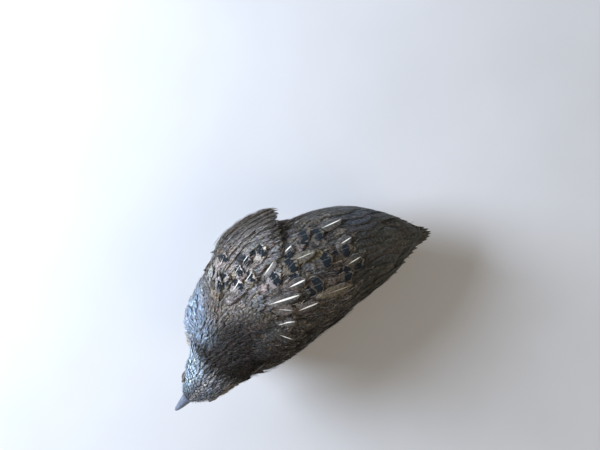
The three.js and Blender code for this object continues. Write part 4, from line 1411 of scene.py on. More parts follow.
# %% Feathers of the neck
NECK_SPACING = 1.7
NECK_PROUD = 1.5
neck_roots = scatter(is_neck, NECK_SPACING)
count = len(neck_roots)
lengths = rng.uniform(5.5, 7.5, count)
proud = 1 + NECK_PROUD * smoothstep(NAPE_REACH - 12, NAPE_REACH - 2, nape_distance(neck_roots))
path, normal = lay(neck_roots, lengths, (0.1, proud * rng.uniform(0.8, 1.4, count)), rows=6, wander=12)
neck_coat = plume(path, normal, lengths * 0.22, fray=0.3, camber=0.2)
paint(neck_coat, patch=0.3, bars=0.35, fringe=0.3, spread_of=0.22)
neck_wisps = wisps(is_neck, spacing=0.88, lengths=(2, 4.5), lifts=(0.7, 2.2), spread_of=0.5, wander=24)
coat_piece("neck_coat", [neck_coat, neck_wisps], plumage, "head_feathers")

# %% [markdown]
# ## Folded wings
# A folded wing shows its long flight feathers at the back and rows of shorter coverts over their roots,
# stepped like shingles. Each row is given by its first and last feather, in x along the body, degrees
# of rise from its side and height over it. The feathers between are spread evenly and then moved a little
# at random. Scattered feathers wouldn't do here, because the rows are what makes it look like a wing.

# %% Laying a row of feathers
ROW_STEPS = 9


def spread_pair(pair, share):
    """Values spread evenly from the first of a pair to the second."""
    low, high = (np.asarray(value, float) for value in pair)
    return low + (high - low) * share[:, None] if low.ndim else low + (high - low) * share


def body_normal(side, points_x, rise):
    """Which way the folded form faces at a place along it and up its side."""
    ahead = over_body(side, points_x + 0.5, rise, 0) - over_body(side, points_x - 0.5, rise, 0)
    around = over_body(side, points_x, rise + 1, 0) - over_body(side, points_x, rise - 1, 0)
    return unit(-np.cross(ahead, around) * side)


def feather_row(side, row, step_up, **look):
    """One row of feathers over the folded form. A bulge bends their paths up or sideways midway."""
    count = row["count"]
    share = np.linspace(0, 1, count)
    root = spread_pair(row["root"], share) + rng.normal(0, [0.5, 0.5, 0], (count, 3))
    tip = spread_pair(row["tip"], share) + rng.normal(0, [0.9, 0.8, 0.08], (count, 3))
    step = spaced(ROW_STEPS)[None, :, None]
    line = root[:, None] + (tip - root)[:, None] * step
    line = line + np.array([0.0, *row.get("bulge", (0, 0))]) * 4 * step * (1 - step)
    path = over_body(side, line[..., 0], line[..., 1], line[..., 2])
    normal = body_normal(side, line[..., 0], line[..., 1])
    half = spread_pair(row["half"], share)
    layer = np.linspace(step_up, 0, count)[:, None, None]
    path = path + normal * layer * step
    return plume(path, normal, half, row["outline"], columns=7, **look)


print("the wing's top faces", body_normal(LEFT, 0.0, 90.0).round(2))

# %% [markdown]
# ## Seven rows on each wing
# From the long primaries at the back the rows get shorter towards the front edge, and their marks get
# bolder. Both wings are made alike, though much of the left one lies in shade.

# %% Rows of wing feathers
WING_ROWS = [
    {"name": "primaries", "count": 11, "root": [(-32, 66, -2.7), (-22, -8, -3.3)],
     "tip": [(-72, 78, -0.9), (-50, -15, -1.8)], "half": (4.0, 4.2), "outline": "long"},
    {"name": "secondaries", "count": 9, "root": [(-20, 36, -2.5), (-4, -14, -2.5)],
     "tip": [(-59, 28, -0.4), (-31, -19, -1.0)], "half": (4.6, 4.4), "outline": "long"},
    {"name": "tertials", "count": 8, "root": [(-16, 84, -2.2), (-10, 16, -2.2)],
     "tip": [(-60, 84, -1.0), (-44, 14, -0.5)], "half": (5.8, 5.6), "outline": "broad"},
    {"name": "greater coverts", "count": 12, "root": [(0, 66, -2.2), (12, -10, -2.2)],
     "tip": [(-25, 66, -1.5), (-11, -16, -0.7)], "half": (4.4, 4.0), "outline": "broad"},
    {"name": "median coverts", "count": 13, "root": [(13, 52, -2.1), (24, -4, -2.1)],
     "tip": [(-5, 54, -1.5), (6, -8, -0.6)], "half": (3.6, 3.4), "outline": "body"},
    {"name": "lesser coverts", "count": 12, "root": [(22, 48, -2.0), (31, 0, -2.0)],
     "tip": [(8, 50, -1.5), (16, -5, -0.6)], "half": (3.3, 3.0), "outline": "body"},
    {"name": "marginal coverts", "count": 9, "root": [(30, 44, -2.0), (37, 4, -2.0)],
     "tip": [(18, 46, -1.5), (25, 0, -0.6)], "half": (3.0, 2.8), "outline": "body"},
]
# Loose slivers to each feather.
WING_WISPS = 30
# Each: the strength of streak, dark squares, bars and fringe.
WING_MARKS = {
    "primaries": (0.03, 0.0, 0.15, 0.08),
    "secondaries": (0.03, 0.0, 0.2, 0.1),
    "tertials": (0.03, 0.1, 0.25, 0.1),
    "greater coverts": (0.15, 0.3, 0.6, 0.3),
    "median coverts": (0.2, 0.4, 0.7, 0.4),
    "lesser coverts": (0.2, 0.4, 0.7, 0.4),
    "marginal coverts": (0.1, 0.3, 0.5, 0.4),
}
for side, label in ((LEFT, "left"), (RIGHT, "right")):
    batches = []
    for row in WING_ROWS:
        batch = feather_row(side, row, 0.2, thick=0.10, camber=0.04, fray=0.06, roll=1.5 * side)
        streak, patch, bars, fringe = WING_MARKS[row["name"]]
        batches.append(paint(batch, streak, patch, bars, fringe, spread_of=0.10))
        batches.append(wisps_over(batch, WING_WISPS * row["count"], spread_of=0.3, rise=(0.05, 0.3)))
    wing = coat_piece(f"wing_feathers_{label}", batches, flight_plumage, "wing_feathers")
    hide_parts(f"wing_{label}")

# %% [markdown]
# ## Tail
# Twelve soft tail feathers lie under the wing tips, with shorter coverts in steps over their roots. They
# are laid as a fan in pairs, from the middle outward, each pair a little lower than the one before, as real
# ones slide under each other when a tail is closed.

# %% Tail feathers and their coverts
TAIL_MIDDLE = (-3.4, -0.2)
# From the tail feathers up to the highest coverts: height is that of the roots, drop that of the tips.
TAIL_TIERS = [
    {"pairs": 6, "root": -47, "height": 36, "tip": -75, "drop": 30.4,
     "fan": 8, "half": 3.4, "spacing": 1.5},
    {"pairs": 5, "root": -44, "height": 39, "tip": -68, "drop": 33.2,
     "fan": 12, "half": 4.2, "spacing": 2.6},
    {"pairs": 4, "root": -40, "height": 45, "tip": -62, "drop": 37.0,
     "fan": 16, "half": 4.6, "spacing": 3.4},
    {"pairs": 4, "root": -34, "height": 54, "tip": -56, "drop": 42.0,
     "fan": 18, "half": 5.0, "spacing": 4.4},
]
TAIL_STEPS = 8
TAIL_WISPS = 450
# At the tips each pair lies this much lower than the one before, and a right feather under its left one.
PAIR_STEP = 0.95
RIGHT_UNDER = 0.48
batches = []
for tier in TAIL_TIERS:
    paths, normals = [], []
    step = spaced(TAIL_STEPS)
    for i in range(tier["pairs"]):
        for side in (LEFT, RIGHT):
            angle = math.radians(tier["fan"] * i / tier["pairs"])
            length = (tier["root"] - tier["tip"]) * (1 - 0.02 * i * i)
            layer = -PAIR_STEP * i - (RIGHT_UNDER if side == RIGHT else 0)
            px = tier["root"] - length * step * math.cos(angle)
            middle = TAIL_MIDDLE[0] + (TAIL_MIDDLE[1] - TAIL_MIDDLE[0]) * step
            out = tier["spacing"] * (0.3 + i * 0.55) + length * step * math.sin(angle)
            pz = tier["height"] + (tier["drop"] - tier["height"]) * step + layer * (0.5 + 0.5 * step)
            paths.append(np.stack([px, middle + side * out, pz], 1))
            normals.append(np.tile(unit([0, side * (0.06 + 0.1 * i), 1]), (TAIL_STEPS, 1)))
    tail_batch = plume(np.array(paths), np.array(normals), np.full(len(paths), tier["half"]), "long",
                       columns=7, thick=0.14, fray=0.05)
    batches.append(paint(tail_batch, streak=0.1, patch=0.1, bars=0.4, fringe=0.15))
    batches.append(wisps_over(tail_batch, TAIL_WISPS, spread_of=0.3, rise=(0.05, 0.3)))
tail = coat_piece("tail_feathers", batches, flight_plumage, "tail_feathers")
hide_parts("tail")

# %% [markdown]
# ## Back and shoulders
# The feathers of the mantle and back carry the bird's boldest marks: cream shaft streaks and blue-black
# squares. The streaked feathers are placed one by one, from where a streak begins to where it ends, and
# plainer feathers fill the room between them. The plain ones come first.

# %% Plain feathers of the back
BACK_SPACING = 3.9
BACK_LENGTH = 17.0
BACK_HALF = 3.9
PLAIN_PATCHED = 0.55
back_places = scatter(is_back & (x > -40), BACK_SPACING)
count = len(back_places)
lengths = BACK_LENGTH * rng.uniform(0.85, 1.1, count) * (1 - 0.35 * smoothstep(24, 40, back_places[:, 0]))
roots = roots_for_tips(back_places, lengths)
path, normal = lay(roots, lengths, (0.3, rng.uniform(1.2, 2.0, count)), rows=9, stiff=0.12, wander=5)
half = lengths * (BACK_HALF / BACK_LENGTH) * rng.uniform(0.85, 1.15, count)
plain_coat = plume(path, normal, half, columns=7, thick=0.10, camber=0.16, fray=0.22)
streak = 0.2 * (rng.random(count) < 0.06)
patch = np.maximum(PLAIN_PATCHED * (rng.random(count) < 0.3), near(path[:, 6], SPOTS, SPOT_REACH))
fringe = 0.25 + 0.6 * (rng.random(count) < 0.45)
paint(plain_coat, streak, patch, bars=0.75, fringe=fringe, spread_of=0.34, warm_of=0.09)
print("plain feathers on the back:", count)

# %% [markdown]
# ## The back's bold marks
# A streak's two ends fix the feather that carries it: it points the way the streak runs and its tip is
# where the streak stops. The dark squares that no streaked feather carries get short broad feathers of
# their own.

# %% Streaked and dark feathers of the back
# Each: where the streak begins, where it ends, its strength and how strongly the vane is patched.
BOLD = np.array([
    (15.4, 1.0, -2.4, 0.6, 1.0, 0.5),
    (3.4, 8.1, -8.9, 6.7, 0.8, 0.4),
    (3.9, -3.6, -6.2, -4.9, 0.85, 0.5),
    (12.8, -11.7, 4.9, -17.0, 0.8, 0.2),
    (1.3, -18.0, -4.4, -19.6, 0.6, 0.8),
    (-19.1, -22.3, -31.9, -22.2, 0.55, 0.3),
    (-25.8, -13.5, -32.6, -14.4, 0.5, 0.5),
    (-25.9, -3.7, -34.3, -5.3, 0.5, 0.5),
    (-11.5, 5.0, -25.6, 5.3, 0.25, 0.2),
    (14.6, 11.5, 5.4, 13.3, 0.6, 0.1),
    (-0.5, -14.0, -14.8, -14.1, 0.25, 0.2),
    (12.8, 3.7, 3.5, 7.0, 0.25, 0.1),
    (15.3, 15.9, 8.8, 20.0, 0.3, 0.1),
])
# How much of a streaked feather lies hidden, as a share of the streak, and how wide it is for its length.
BOLD_HIDDEN = 0.3
BOLD_HALF = BACK_HALF * 0.85
SPOT_LENGTH = 13.0
SPOT_HALF = 4.9
SPOT_TIP = 4.0
starts, ends = BOLD[:, :2], BOLD[:, 2:4]
path, normal = lay_between(starts + (starts - ends) * BOLD_HIDDEN, ends, (1.4, 3.2))
half = np.full(len(BOLD), BOLD_HALF)
bold_coat = plume(path, normal, half, columns=9, thick=0.12, camber=0.2, fray=0.2)
paint(bold_coat, streak=BOLD[:, 4], patch=BOLD[:, 5], bars=0.35, fringe=0.3, spread_of=0.15)
place, normal = from_above(BACK_SPOTS)
spot_lie = along_surface(lie_at(place), normal)
lengths = np.full(len(place), SPOT_LENGTH)
roots = roots_for_tips(place + spot_lie * SPOT_TIP, lengths)
path, normal = lay(roots, lengths, (0.4, 2.9), rows=9, stiff=0.1, wander=6)
spot_coat = plume(path, normal, np.full(len(place), SPOT_HALF), columns=9, thick=0.1, camber=0.16, fray=0.2)
paint(spot_coat, streak=0.1, patch=1.0, bars=0.4, fringe=0.5, spread_of=0.2)
back_wisps = wisps(is_back & (x > -36), spacing=1.25, lengths=(4.0, 8.0), lifts=(0.9, 2.1), spread_of=0.6)
batches = [plain_coat, bold_coat, spot_coat, back_wisps]
back_piece = coat_piece("back_coat", batches, plumage, "back_feathers")
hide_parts("scapulars_left")

# %% [markdown]
# ## The lobe of the right shoulder
# On the right the shoulder feathers are loose and stand off as a lobe. They lie in steps, point outward
# to the rear and show blue-black squares beside thin pale shafts. The skin has a bed for them, and the rows
# rise over it like the wing's, because rows keep such a stack of long feathers in order.

# %% Rows of the right shoulder
LOBE_ROWS = [
    {"count": 10, "root": [(11, 56, -0.8), (5, 6, 4.2)], "tip": [(-3, 48, -0.2), (-11, -8, 5.9)]},
    {"count": 10, "root": [(15, 58, -0.8), (9, 10, 4.3)], "tip": [(1, 50, -0.2), (-6, -4, 6.3)]},
    {"count": 9, "root": [(19, 60, -0.8), (14, 14, 4.2)], "tip": [(6, 53, -0.2), (0, 0, 6.2)]},
    {"count": 9, "root": [(24, 62, -0.8), (19, 18, 3.7)], "tip": [(11, 57, -0.2), (6, 5, 5.6)]},
    {"count": 8, "root": [(27, 63, -1.6), (25, 24, -0.6)], "tip": [(16, 60, -0.3), (12, 11, 4.6)]},
]
LOBE_HALF = (4.5, 4.5)
LOBE_BULGE = (-2.0, 1.2)
LOBE_STREAKS = [(24, -23), (22.5, -17)]
LOBE_STREAK_REACH = 2.4
LOBE_SPOT_REACH = 5.0
LOBE_WISPS = 560
# The point of each feather's mesh, on the shaft and near the tip, that says if the feather is on a spot.
LOBE_SHOWN = 52
batches = []
for row in LOBE_ROWS:
    batch = feather_row(RIGHT, {**row, "half": LOBE_HALF, "outline": "body", "bulge": LOBE_BULGE}, 0.12,
                        thick=0.08, camber=0.07, fray=0.2, roll=-0.7)
    streak = 0.45 * near(batch["middle"], LOBE_STREAKS, LOBE_STREAK_REACH)
    streak = np.maximum(streak, 0.2 * (rng.random(row["count"]) < 0.15))
    patch = np.maximum(0.12, near(batch["points"][:, LOBE_SHOWN], SPOTS, LOBE_SPOT_REACH))
    batches.append(paint(batch, streak, patch, bars=1.0, fringe=0.3, spread_of=0.13, warm_of=0.09))
    batches.append(wisps_over(batch, LOBE_WISPS, spread_of=0.3))
print("rows on the right shoulder:", len(LOBE_ROWS))

# %% [markdown]
# ## The lobe's dark squares
# The largest squares lie on top of the lobe. Each is carried by one short broad feather that rises from
# under its neighbours, so that only its marked end shows.

# %% Dark squares of the right shoulder
# The middle of each square, in x along the body and degrees of rise, and the strength of its pale shaft.
LOBE_SQUARES = [(7, 45), (12.5, 45), (16.5, 48), (14.5, 58), (22, 47), (19.5, 57), (18.5, 31)]
LOBE_LINES = [0, 0.3, 0.25, 0.3, 0, 0.35, 0]
TO_ROOT = (5.0, 2.5)
TO_TIP = (-3.5, -2.0)
# The rows rise by this many millimetres to the degree, counted down from the lobe's upper edge.
LOBE_EDGE = 58
LOBE_SLOPE = 0.1
SQUARE_LIFT = (-0.2, 2.3)
squares = np.array(LOBE_SQUARES)[:, None]
root = squares + np.array(TO_ROOT)
tip = squares + np.array(TO_TIP)
line = root + (tip - root) * spaced(ROW_STEPS)[None, :, None]
lift = LOBE_SLOPE * (LOBE_EDGE - line[..., 1]) + np.linspace(*SQUARE_LIFT, ROW_STEPS)
path = over_body(RIGHT, line[..., 0], line[..., 1], lift)
normal = body_normal(RIGHT, line[..., 0], line[..., 1])
batch = plume(path, normal, np.full(len(path), SPOT_HALF), columns=9, thick=0.1, camber=0.2, fray=0.18)
batches.append(paint(batch, streak=LOBE_LINES, patch=1.0, bars=0.4, fringe=0.5, spread_of=0.15))
lobe_piece = coat_piece("right_shoulder_coat", batches, plumage, "back_feathers")
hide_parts("scapulars_right")

# %% [markdown]
# ## Eyes
# A quail's eye is dark and very glossy, with a brown iris round a wide pupil. The ball is a fine sphere
# whose iris and pupil are coloured by their angle from the way the eye looks. A separate clear cornea over
# a painted iris is how glass eyes are made, but at this size it wouldn't show.

# %% Eye material
def eye_material():
    """A wet, dark, very smooth surface: it shows small sharp lights and almost no colour."""
    material, tree, shader = new_material("wet_cornea")
    gaze = add_node(tree, "ShaderNodeAttribute", attribute_name="gaze")
    split = add_node(tree, "ShaderNodeSeparateXYZ", {0: gaze.outputs["Vector"]})
    ramp = add_node(tree, "ShaderNodeValToRGB", {0: split.outputs[0]})
    stops = ramp.color_ramp.elements
    stops[0].position, stops[0].color = 0.0, linear("#050405")
    stops[1].position, stops[1].color = 0.30, linear("#060505")
    for position, value in ((0.34, "#2c1910"), (0.52, "#382115"), (0.60, "#0d0807")):
        stops.new(position).color = linear(value)
    close_material(tree, shader, {"Base Color": ramp.outputs[0]}, {
        "Roughness": 0.06, "IOR": 1.38, "Coat Weight": 1.0, "Coat Roughness": 0.02,
    })
    return material


eye_coat = eye_material()
print("eye's radius in mm:", EYE_RADIUS)

# %% [markdown]
# ## Scaly skin as a material
# Lids, legs and claws are covered by skin or horn in small rounded scales. One material serves all three,
# with the size of the scales, their colours and their shine given each time.

# %% Material of lids, legs and claws
SCALE_DEPTH = 0.15


def scaly_material(name, size, middle, edge, raised, values):
    """Small rounded scales of one size, each a little raised and set off by a line of another colour."""
    material, tree, shader = new_material(name)
    place = add_node(tree, "ShaderNodeNewGeometry").outputs["Position"]
    scales = add_node(tree, "ShaderNodeTexVoronoi", {"Vector": place, "Scale": 1 / (size * MM)})
    out = scales.outputs["Distance"]
    ramp = add_node(tree, "ShaderNodeValToRGB", {0: out})
    ramp.color_ramp.elements[0].color = linear(middle)
    ramp.color_ramp.elements[1].color = linear(edge)
    relief = add_node(tree, "ShaderNodeBump", {
        "Height": out, "Strength": raised, "Distance": SCALE_DEPTH * MM,
    })
    outputs = {"Base Color": ramp.outputs[0], "Normal": relief.outputs[0]}
    close_material(tree, shader, outputs, values)
    return material


# Bare skin round the eye is dull and finely pebbled.
lid_coat = scaly_material("lid_skin", size=0.5, middle="#7d756c", edge="#4c443d", raised=0.6, values={
    "Roughness": 0.55,
})
print("scales stand out by at most", SCALE_DEPTH, "mm")

# %% [markdown]
# ## Eyeballs and lids
# Each ball bulges a little over its iris. Round it lies a ring of small beads, the scales that edge the
# lids. Both are made looking along the eye's own axis and are then turned into the head.

# %% Eyeballs and lids
def ball(rings, sides):
    """A unit sphere of quads about the z axis, with a tiny flat at each pole."""
    tilt = np.linspace(0.02, math.pi - 0.02, rings)
    spin = np.linspace(0, 2 * math.pi, sides, endpoint=False)
    points = np.stack([
        np.sin(tilt)[:, None] * np.cos(spin), np.sin(tilt)[:, None] * np.sin(spin),
        np.cos(tilt)[:, None] * np.ones(sides),
    ], -1).reshape(-1, 3)
    return points, [face[::-1] for face in ring_faces(rings, sides)]


LID_RADIUS = 2.9
LID_OUT = 2.35
LID_THICK = 0.46
LID_OVAL = (1.06, 0.94)
LID_ROUND = 72
LID_SIDES = 12
BEADS = 22
BEAD_DEPTH = 0.16
CORNEA_BULGE = 0.03
for side, label in ((LEFT, "left"), (RIGHT, "right")):
    look = unit(on_side(EYE_LOOK, side))
    first = unit(np.cross([0, 0, 1.0], look))
    second = np.cross(look, first)
    frame_of_eye = np.stack([first, second, look])
    centre = on_side(EYE_AT, side)
    sphere, faces = ball(40, 48)
    gaze = np.arccos(np.clip(sphere[:, 2], -1, 1)) / (math.pi / 2)
    bulge = 1 + CORNEA_BULGE * smoothstep(0.55, 0.1, gaze)
    places = from_head(sphere * bulge[:, None] * EYE_RADIUS @ frame_of_eye + centre)
    eye = build_mesh(f"eyeball_{label}", places, faces, eye_coat, "eye",
                     values={"gaze": np.stack([gaze, gaze, gaze], 1)})
    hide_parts(f"eye_{label}")
    spin = np.linspace(0, 2 * math.pi, LID_ROUND, endpoint=False)
    roll = np.linspace(0, 2 * math.pi, LID_SIDES, endpoint=False)
    thick = LID_THICK * (1 + BEAD_DEPTH * np.sin(spin * BEADS))[:, None]
    oval = np.stack([np.cos(spin) * LID_OVAL[0], np.sin(spin) * LID_OVAL[1], np.zeros(LID_ROUND)], 1)
    lid = oval[:, None] * (LID_RADIUS + thick * np.cos(roll))[..., None]
    lid[..., 2] = LID_OUT + thick * np.sin(roll)
    lid = lid.reshape(-1, 3)
    faces = []
    for a in range(LID_ROUND):
        here, ahead = a * LID_SIDES, (a + 1) % LID_ROUND * LID_SIDES
        for b in range(LID_SIDES):
            above = (b + 1) % LID_SIDES
            faces.append((here + b, ahead + b, ahead + above, here + above))
    build_mesh(f"eyelids_{label}", from_head(lid @ frame_of_eye + centre), faces, lid_coat, "head_feathers")
print("eyes and lids are in place")

# %% [markdown]
# ## Bill
# The bill is bone under a sheath of keratin, grown from its base, smooth and slightly shiny. It is blue-grey
# with a fine mottling where the horn wears. Soft flaps arch over the nostrils. Each half is a tube through
# a few stations, drawn up along the ridge and pressed in at the nostrils, as one would model it in clay.

# %% Material of the bill
WEAR_SIZE = 1.1
WEAR_DEPTH = 0.1


def bill_material():
    """Keratin grown in one piece: smooth, half shiny, its blue-grey broken by fine wear."""
    material, tree, shader = new_material("bill_keratin")
    place = add_node(tree, "ShaderNodeNewGeometry").outputs["Position"]
    wear = add_node(tree, "ShaderNodeTexNoise", {
        "Vector": place, "Scale": 1 / (WEAR_SIZE * MM), "Detail": 4.0, "Roughness": 0.65,
    }).outputs[0]
    ramp = add_node(tree, "ShaderNodeValToRGB", {0: wear})
    for stop, position, tint in zip(ramp.color_ramp.elements, (0.3, 0.75), ("#474c54", "#7a8089")):
        stop.position = position
        stop.color = linear(tint)
    relief = add_node(tree, "ShaderNodeBump", {
        "Height": wear, "Strength": 0.25, "Distance": WEAR_DEPTH * MM,
    })
    outputs = {"Base Color": ramp.outputs[0], "Normal": relief.outputs[0]}
    close_material(tree, shader, outputs, {"Roughness": 0.38, "IOR": KERATIN_IOR})
    return material


sheath = bill_material()
print("spots of wear on the bill in mm:", WEAR_SIZE)

# %% [markdown]
# ## Both halves of the bill
# The stations are the CAD model's. Ridge, nostrils and flaps are only on the upper half, and the lower
# one lies against it, hidden from above.

# %% Sheath of the bill
UPPER_BILL = [
    [11.5, 0, -2.7, 3, 2.7, 0.6],
    [16, 0, -3, 2.9, 2.5, 0.6],
    [20.5, 0, -3.5, 2.3, 2, 0.6],
    [24.5, 0, -4.3, 1.6, 1.5, 0.6],
    [27.6, 0, -5.4, 0.9, 0.9, 0.7],
    [29.2, 0, -6.5, 0.15, 0.15, 0.15],
]
LOWER_BILL = [
    [11.5, 0, -4.3, 2.6, 0.8, 1.7],
    [16, 0, -4.7, 2.5, 0.8, 1.6],
    [20.5, 0, -5.1, 2, 0.7, 1.4],
    [24.5, 0, -5.9, 1.2, 0.6, 1],
    [26.9, 0, -6.4, 0.15, 0.15, 0.15],
]
RIDGE_HALF = 0.5
RIDGE_HEIGHT = 0.18
RIDGE_ABOVE = -4.5
# Each: its middle on the left and its half sizes, in the head's frame.
NOSTRIL = ((18.2, 2.1, -1.9), (1.9, 1.1, 0.8))
HOOD = ((17.9, 1.9, -1.2), (2.4, 1.2, 0.9))


def oval_distance(places, form, side):
    """How far places lie from the middle of an oval form, where 1 is its edge."""
    middle, half_sizes = form
    return np.linalg.norm((places - on_side(middle, side)) / half_sizes, axis=1)


for name, stations, node in (
    ("bill_upper_sheath", UPPER_BILL, "bill_upper"),
    ("bill_lower_sheath", LOWER_BILL, "bill_lower"),
):
    places, faces = tube(stations, 60, 32)
    if node == "bill_upper":
        on_ridge = np.exp(-((places[:, 1] / RIDGE_HALF) ** 2)) * (places[:, 2] > RIDGE_ABOVE)
        places[:, 2] += on_ridge * RIDGE_HEIGHT
        for side in (LEFT, RIGHT):
            hollow = 0.6 * smoothstep(0.8, 0.2, oval_distance(places, NOSTRIL, side))
            flap = smoothstep(1, 0, oval_distance(places, HOOD, side))
            places[:, 1] += side * (0.35 * flap - hollow)
            places[:, 2] += 0.3 * flap
    piece = build_mesh(name, from_head(places), faces, sheath, "bill")
    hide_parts(node)
print("bill length in mm:", UPPER_BILL[-1][0] - UPPER_BILL[0][0])

# %% [markdown]
# ## Legs and feet
# The legs are folded under the belly. Shank and toes are covered by horny scutes, which show as a row of
# shallow steps, and each toe ends in a smooth claw. All are rods through a few points that get thinner and
# thicker. One helper makes the steps and keeps every rod above the floor.

# %% Rods with scutes
HOCK = (-14, 20.7, 6.4)
ANKLE = (12.5, 18.6, 4.2)
SHANK_RADIUS = 1.75
TOE_RADIUS = 1.35
TOE_REST = 1.0
CLAW_LENGTH = 4.2
SCUTE = 1.5
SCUTE_STEP = 0.09
LOWEST_ROD = 0.02
HEEL_AT = (1.9, 3.4)
HEEL_SIZE = (2.5, 2.3, 2.3)
# Each toe: degrees that it points outward from straight ahead, and its length.
TOES = [(-24, 15), (3, 21), (22, 14.5), (205, 6)]


def rod(points, rings, sides=20, scute=0.0):
    """A tapered rod of round section, stepped in scutes if wanted."""
    stations = [[px, py, pz, radius, radius, radius] for px, py, pz, radius in points]
    places, faces = tube(stations, rings, sides)
    if scute:
        centre, _, _, _ = sections(stations, rings)
        run = np.concatenate([[0], np.cumsum(np.linalg.norm(np.diff(centre, axis=0), axis=1))])
        step = 1 - SCUTE_STEP * ((run / scute) % 1)
        grid = places.reshape(rings, sides, 3)
        places = (centre[:, None] + (grid - centre[:, None]) * step[:, None, None]).reshape(-1, 3)
    places[:, 2] = np.maximum(places[:, 2], LOWEST_ROD)
    return places, faces


# Leg skin is horny and only half dull. Claws are denser, so they are darker and shinier.
scutes = scaly_material("leg_scutes", size=0.8, middle="#c2a186", edge="#8a6c55", raised=0.4, values={
    "Roughness": 0.5, "IOR": KERATIN_IOR,
})
claws = scaly_material("claw_keratin", size=0.8, middle="#5f5046", edge="#3a302a", raised=0.4, values={
    "Roughness": 0.35, "IOR": KERATIN_IOR,
})
print("scutes are", SCUTE, "mm long")

# %% [markdown]
# ## Shanks, toes and claws
# Three toes point ahead and a short one points back. The shank lies low beside the belly, from the hock
# behind to the ankle in front. Toes and claws start inside each other, so that no gap can open.

# %% Shanks, toes and claws
for side, label in ((LEFT, "left"), (RIGHT, "right")):
    h, a = HOCK, ANKLE
    shank_line = [
        (h[0] - 1.2, h[1] * side, h[2] + 0.6, 0.3),
        (h[0], h[1] * side, h[2] + 0.2, SHANK_RADIUS * 1.25),
        (h[0] + (a[0] - h[0]) * 0.3, h[1] * side, h[2] + (a[2] - h[2]) * 0.3, SHANK_RADIUS),
        (h[0] + (a[0] - h[0]) * 0.75, a[1] * side, h[2] + (a[2] - h[2]) * 0.75, SHANK_RADIUS),
        (a[0] - 0.6, a[1] * side, a[2], SHANK_RADIUS * 1.15),
    ]
    shank = build_mesh(f"shank_scutes_{label}", *rod(shank_line, rings=90, scute=SCUTE), scutes, "leg")
    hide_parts(f"shank_{label}")
    heel, heel_faces = ball(20, 24)
    foot_parts = [(heel * HEEL_SIZE + [a[0] + HEEL_AT[0], a[1] * side, HEEL_AT[1]], heel_faces)]
    claw_parts = []
    for turn_out, reach in TOES:
        angle = math.radians(turn_out)
        way = (math.cos(angle), math.sin(angle) * side)

        def at(distance, height, radius):
            return (a[0] + 1.6 + way[0] * distance, a[1] * side + way[1] * distance, height, radius)

        toe_line = [
            at(-0.4, 3.6, TOE_RADIUS * 1.2), at(reach * 0.22, 2.6, TOE_RADIUS * 1.15),
            at(reach * 0.5, TOE_REST, TOE_RADIUS), at(reach * 0.8, TOE_REST, TOE_RADIUS * 0.95),
            at(reach, TOE_REST + 0.1, TOE_RADIUS * 0.8), at(reach + 0.8, 1.3, 0.3),
        ]
        claw_line = [
            at(reach - 0.8, TOE_REST + 0.2, TOE_RADIUS * 0.6),
            at(reach + CLAW_LENGTH * 0.5, 1.4, TOE_RADIUS * 0.5),
            at(reach + CLAW_LENGTH, 0.45, 0.15),
        ]
        foot_parts.append(rod(toe_line, rings=70, sides=18, scute=SCUTE))
        claw_parts.append(rod(claw_line, rings=20, sides=14))
    foot = build_mesh(f"foot_scutes_{label}", *merged(foot_parts), scutes, "leg")
    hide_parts(f"foot_{label}")
    build_mesh(f"claws_{label}", *merged(claw_parts), claws, "leg")
print("toes on each foot:", len(TOES))

# %% [markdown]
# ## Floor and light
# A plain pale floor, a large cool light from the image's upper left, as an open sky gives, and a weak
# fill from the other side. The floor is plain so that nothing but the bird draws the eye, and pale so that
# some light comes back to the underside.

# %% Studio
FLOOR_SIZE = 3.0
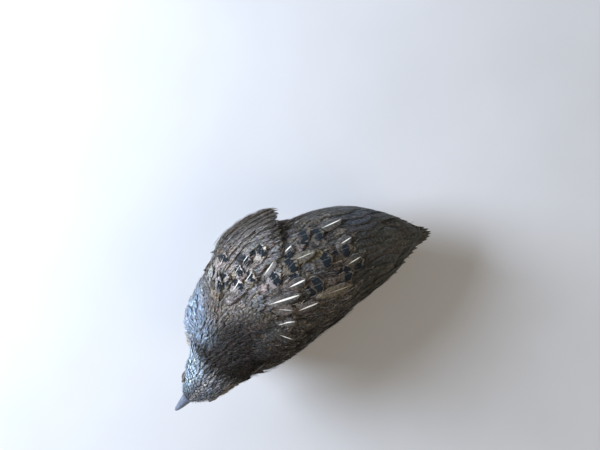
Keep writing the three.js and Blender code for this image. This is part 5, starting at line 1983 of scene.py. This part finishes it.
# The broad patches that a roller leaves, in metres. The grain of the paint itself is too fine to show.
ROLLER_MARK = 0.05
floor_material, floor_tree, floor_shader = new_material("matt_paint")
floor_grain = add_node(floor_tree, "ShaderNodeTexNoise", {
    "Scale": FLOOR_SIZE / ROLLER_MARK, "Detail": 2.0,
})
floor_ramp = add_node(floor_tree, "ShaderNodeValToRGB", {0: floor_grain.outputs[0]})
floor_ramp.color_ramp.elements[0].color = linear("#c9c5be")
floor_ramp.color_ramp.elements[1].color = linear("#d3cfc9")
# Matt paint gives a soft even grey without any gloss.
close_material(floor_tree, floor_shader, {"Base Color": floor_ramp.outputs[0]}, {"Roughness": 0.9})
floor_mesh = bpy.data.meshes.new("floor")
edge = FLOOR_SIZE / 2
corners = [(-edge, -edge, 0), (edge, -edge, 0), (edge, edge, 0), (-edge, edge, 0)]
floor_mesh.from_pydata(corners, [], [(0, 1, 2, 3)])
floor_mesh.materials.append(floor_material)
floor = bpy.data.objects.new("floor", floor_mesh)
bpy.context.collection.objects.link(floor)
floor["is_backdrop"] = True


def area_light(name, at, target, size, power, tint):
    """A round area light that faces its target. Its size is in metres and its power in watts."""
    data = bpy.data.lights.new(name, "AREA")
    data.shape = "DISK"
    data.size = size
    data.energy = power
    data.color = linear(tint)[:3]
    lamp = bpy.data.objects.new(name, data)
    bpy.context.collection.objects.link(lamp)
    lamp.location = at
    lamp.rotation_euler = (Vector(target) - Vector(at)).to_track_quat("-Z", "Y").to_euler()
    return lamp


CENTRE = (0.0, 0.0, 0.04)
area_light("sky_light", (0.48, -0.34, 0.36), CENTRE, size=0.4, power=12.5, tint="#d0e0fb")
area_light("fill_light", (-0.5, 0.5, 0.9), CENTRE, size=0.9, power=3.2, tint="#fff1df")
world = bpy.data.worlds.new("studio")
world.use_nodes = True
world.node_tree.nodes["Background"].inputs["Color"].default_value = linear("#e6e9ee")
world.node_tree.nodes["Background"].inputs["Strength"].default_value = 0.30
bpy.context.scene.world = world
bpy.context.scene.view_settings.view_transform = "Standard"

# %% [markdown]
# ## Measuring and finishing
# The dressed bird has to stay inside the CAD model's box, apart from the little that a coat may stand
# proud. Both boxes are printed at the end.

# %% Sizes and the end
bpy.context.view_layer.update()
visual_box = [[float(value) for value in corner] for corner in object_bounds()]
for label, box in (("CAD", cad_box), ("visual", visual_box)):
    print(label, "box in mm:", [[round(value / MM, 1) for value in corner] for corner in box])
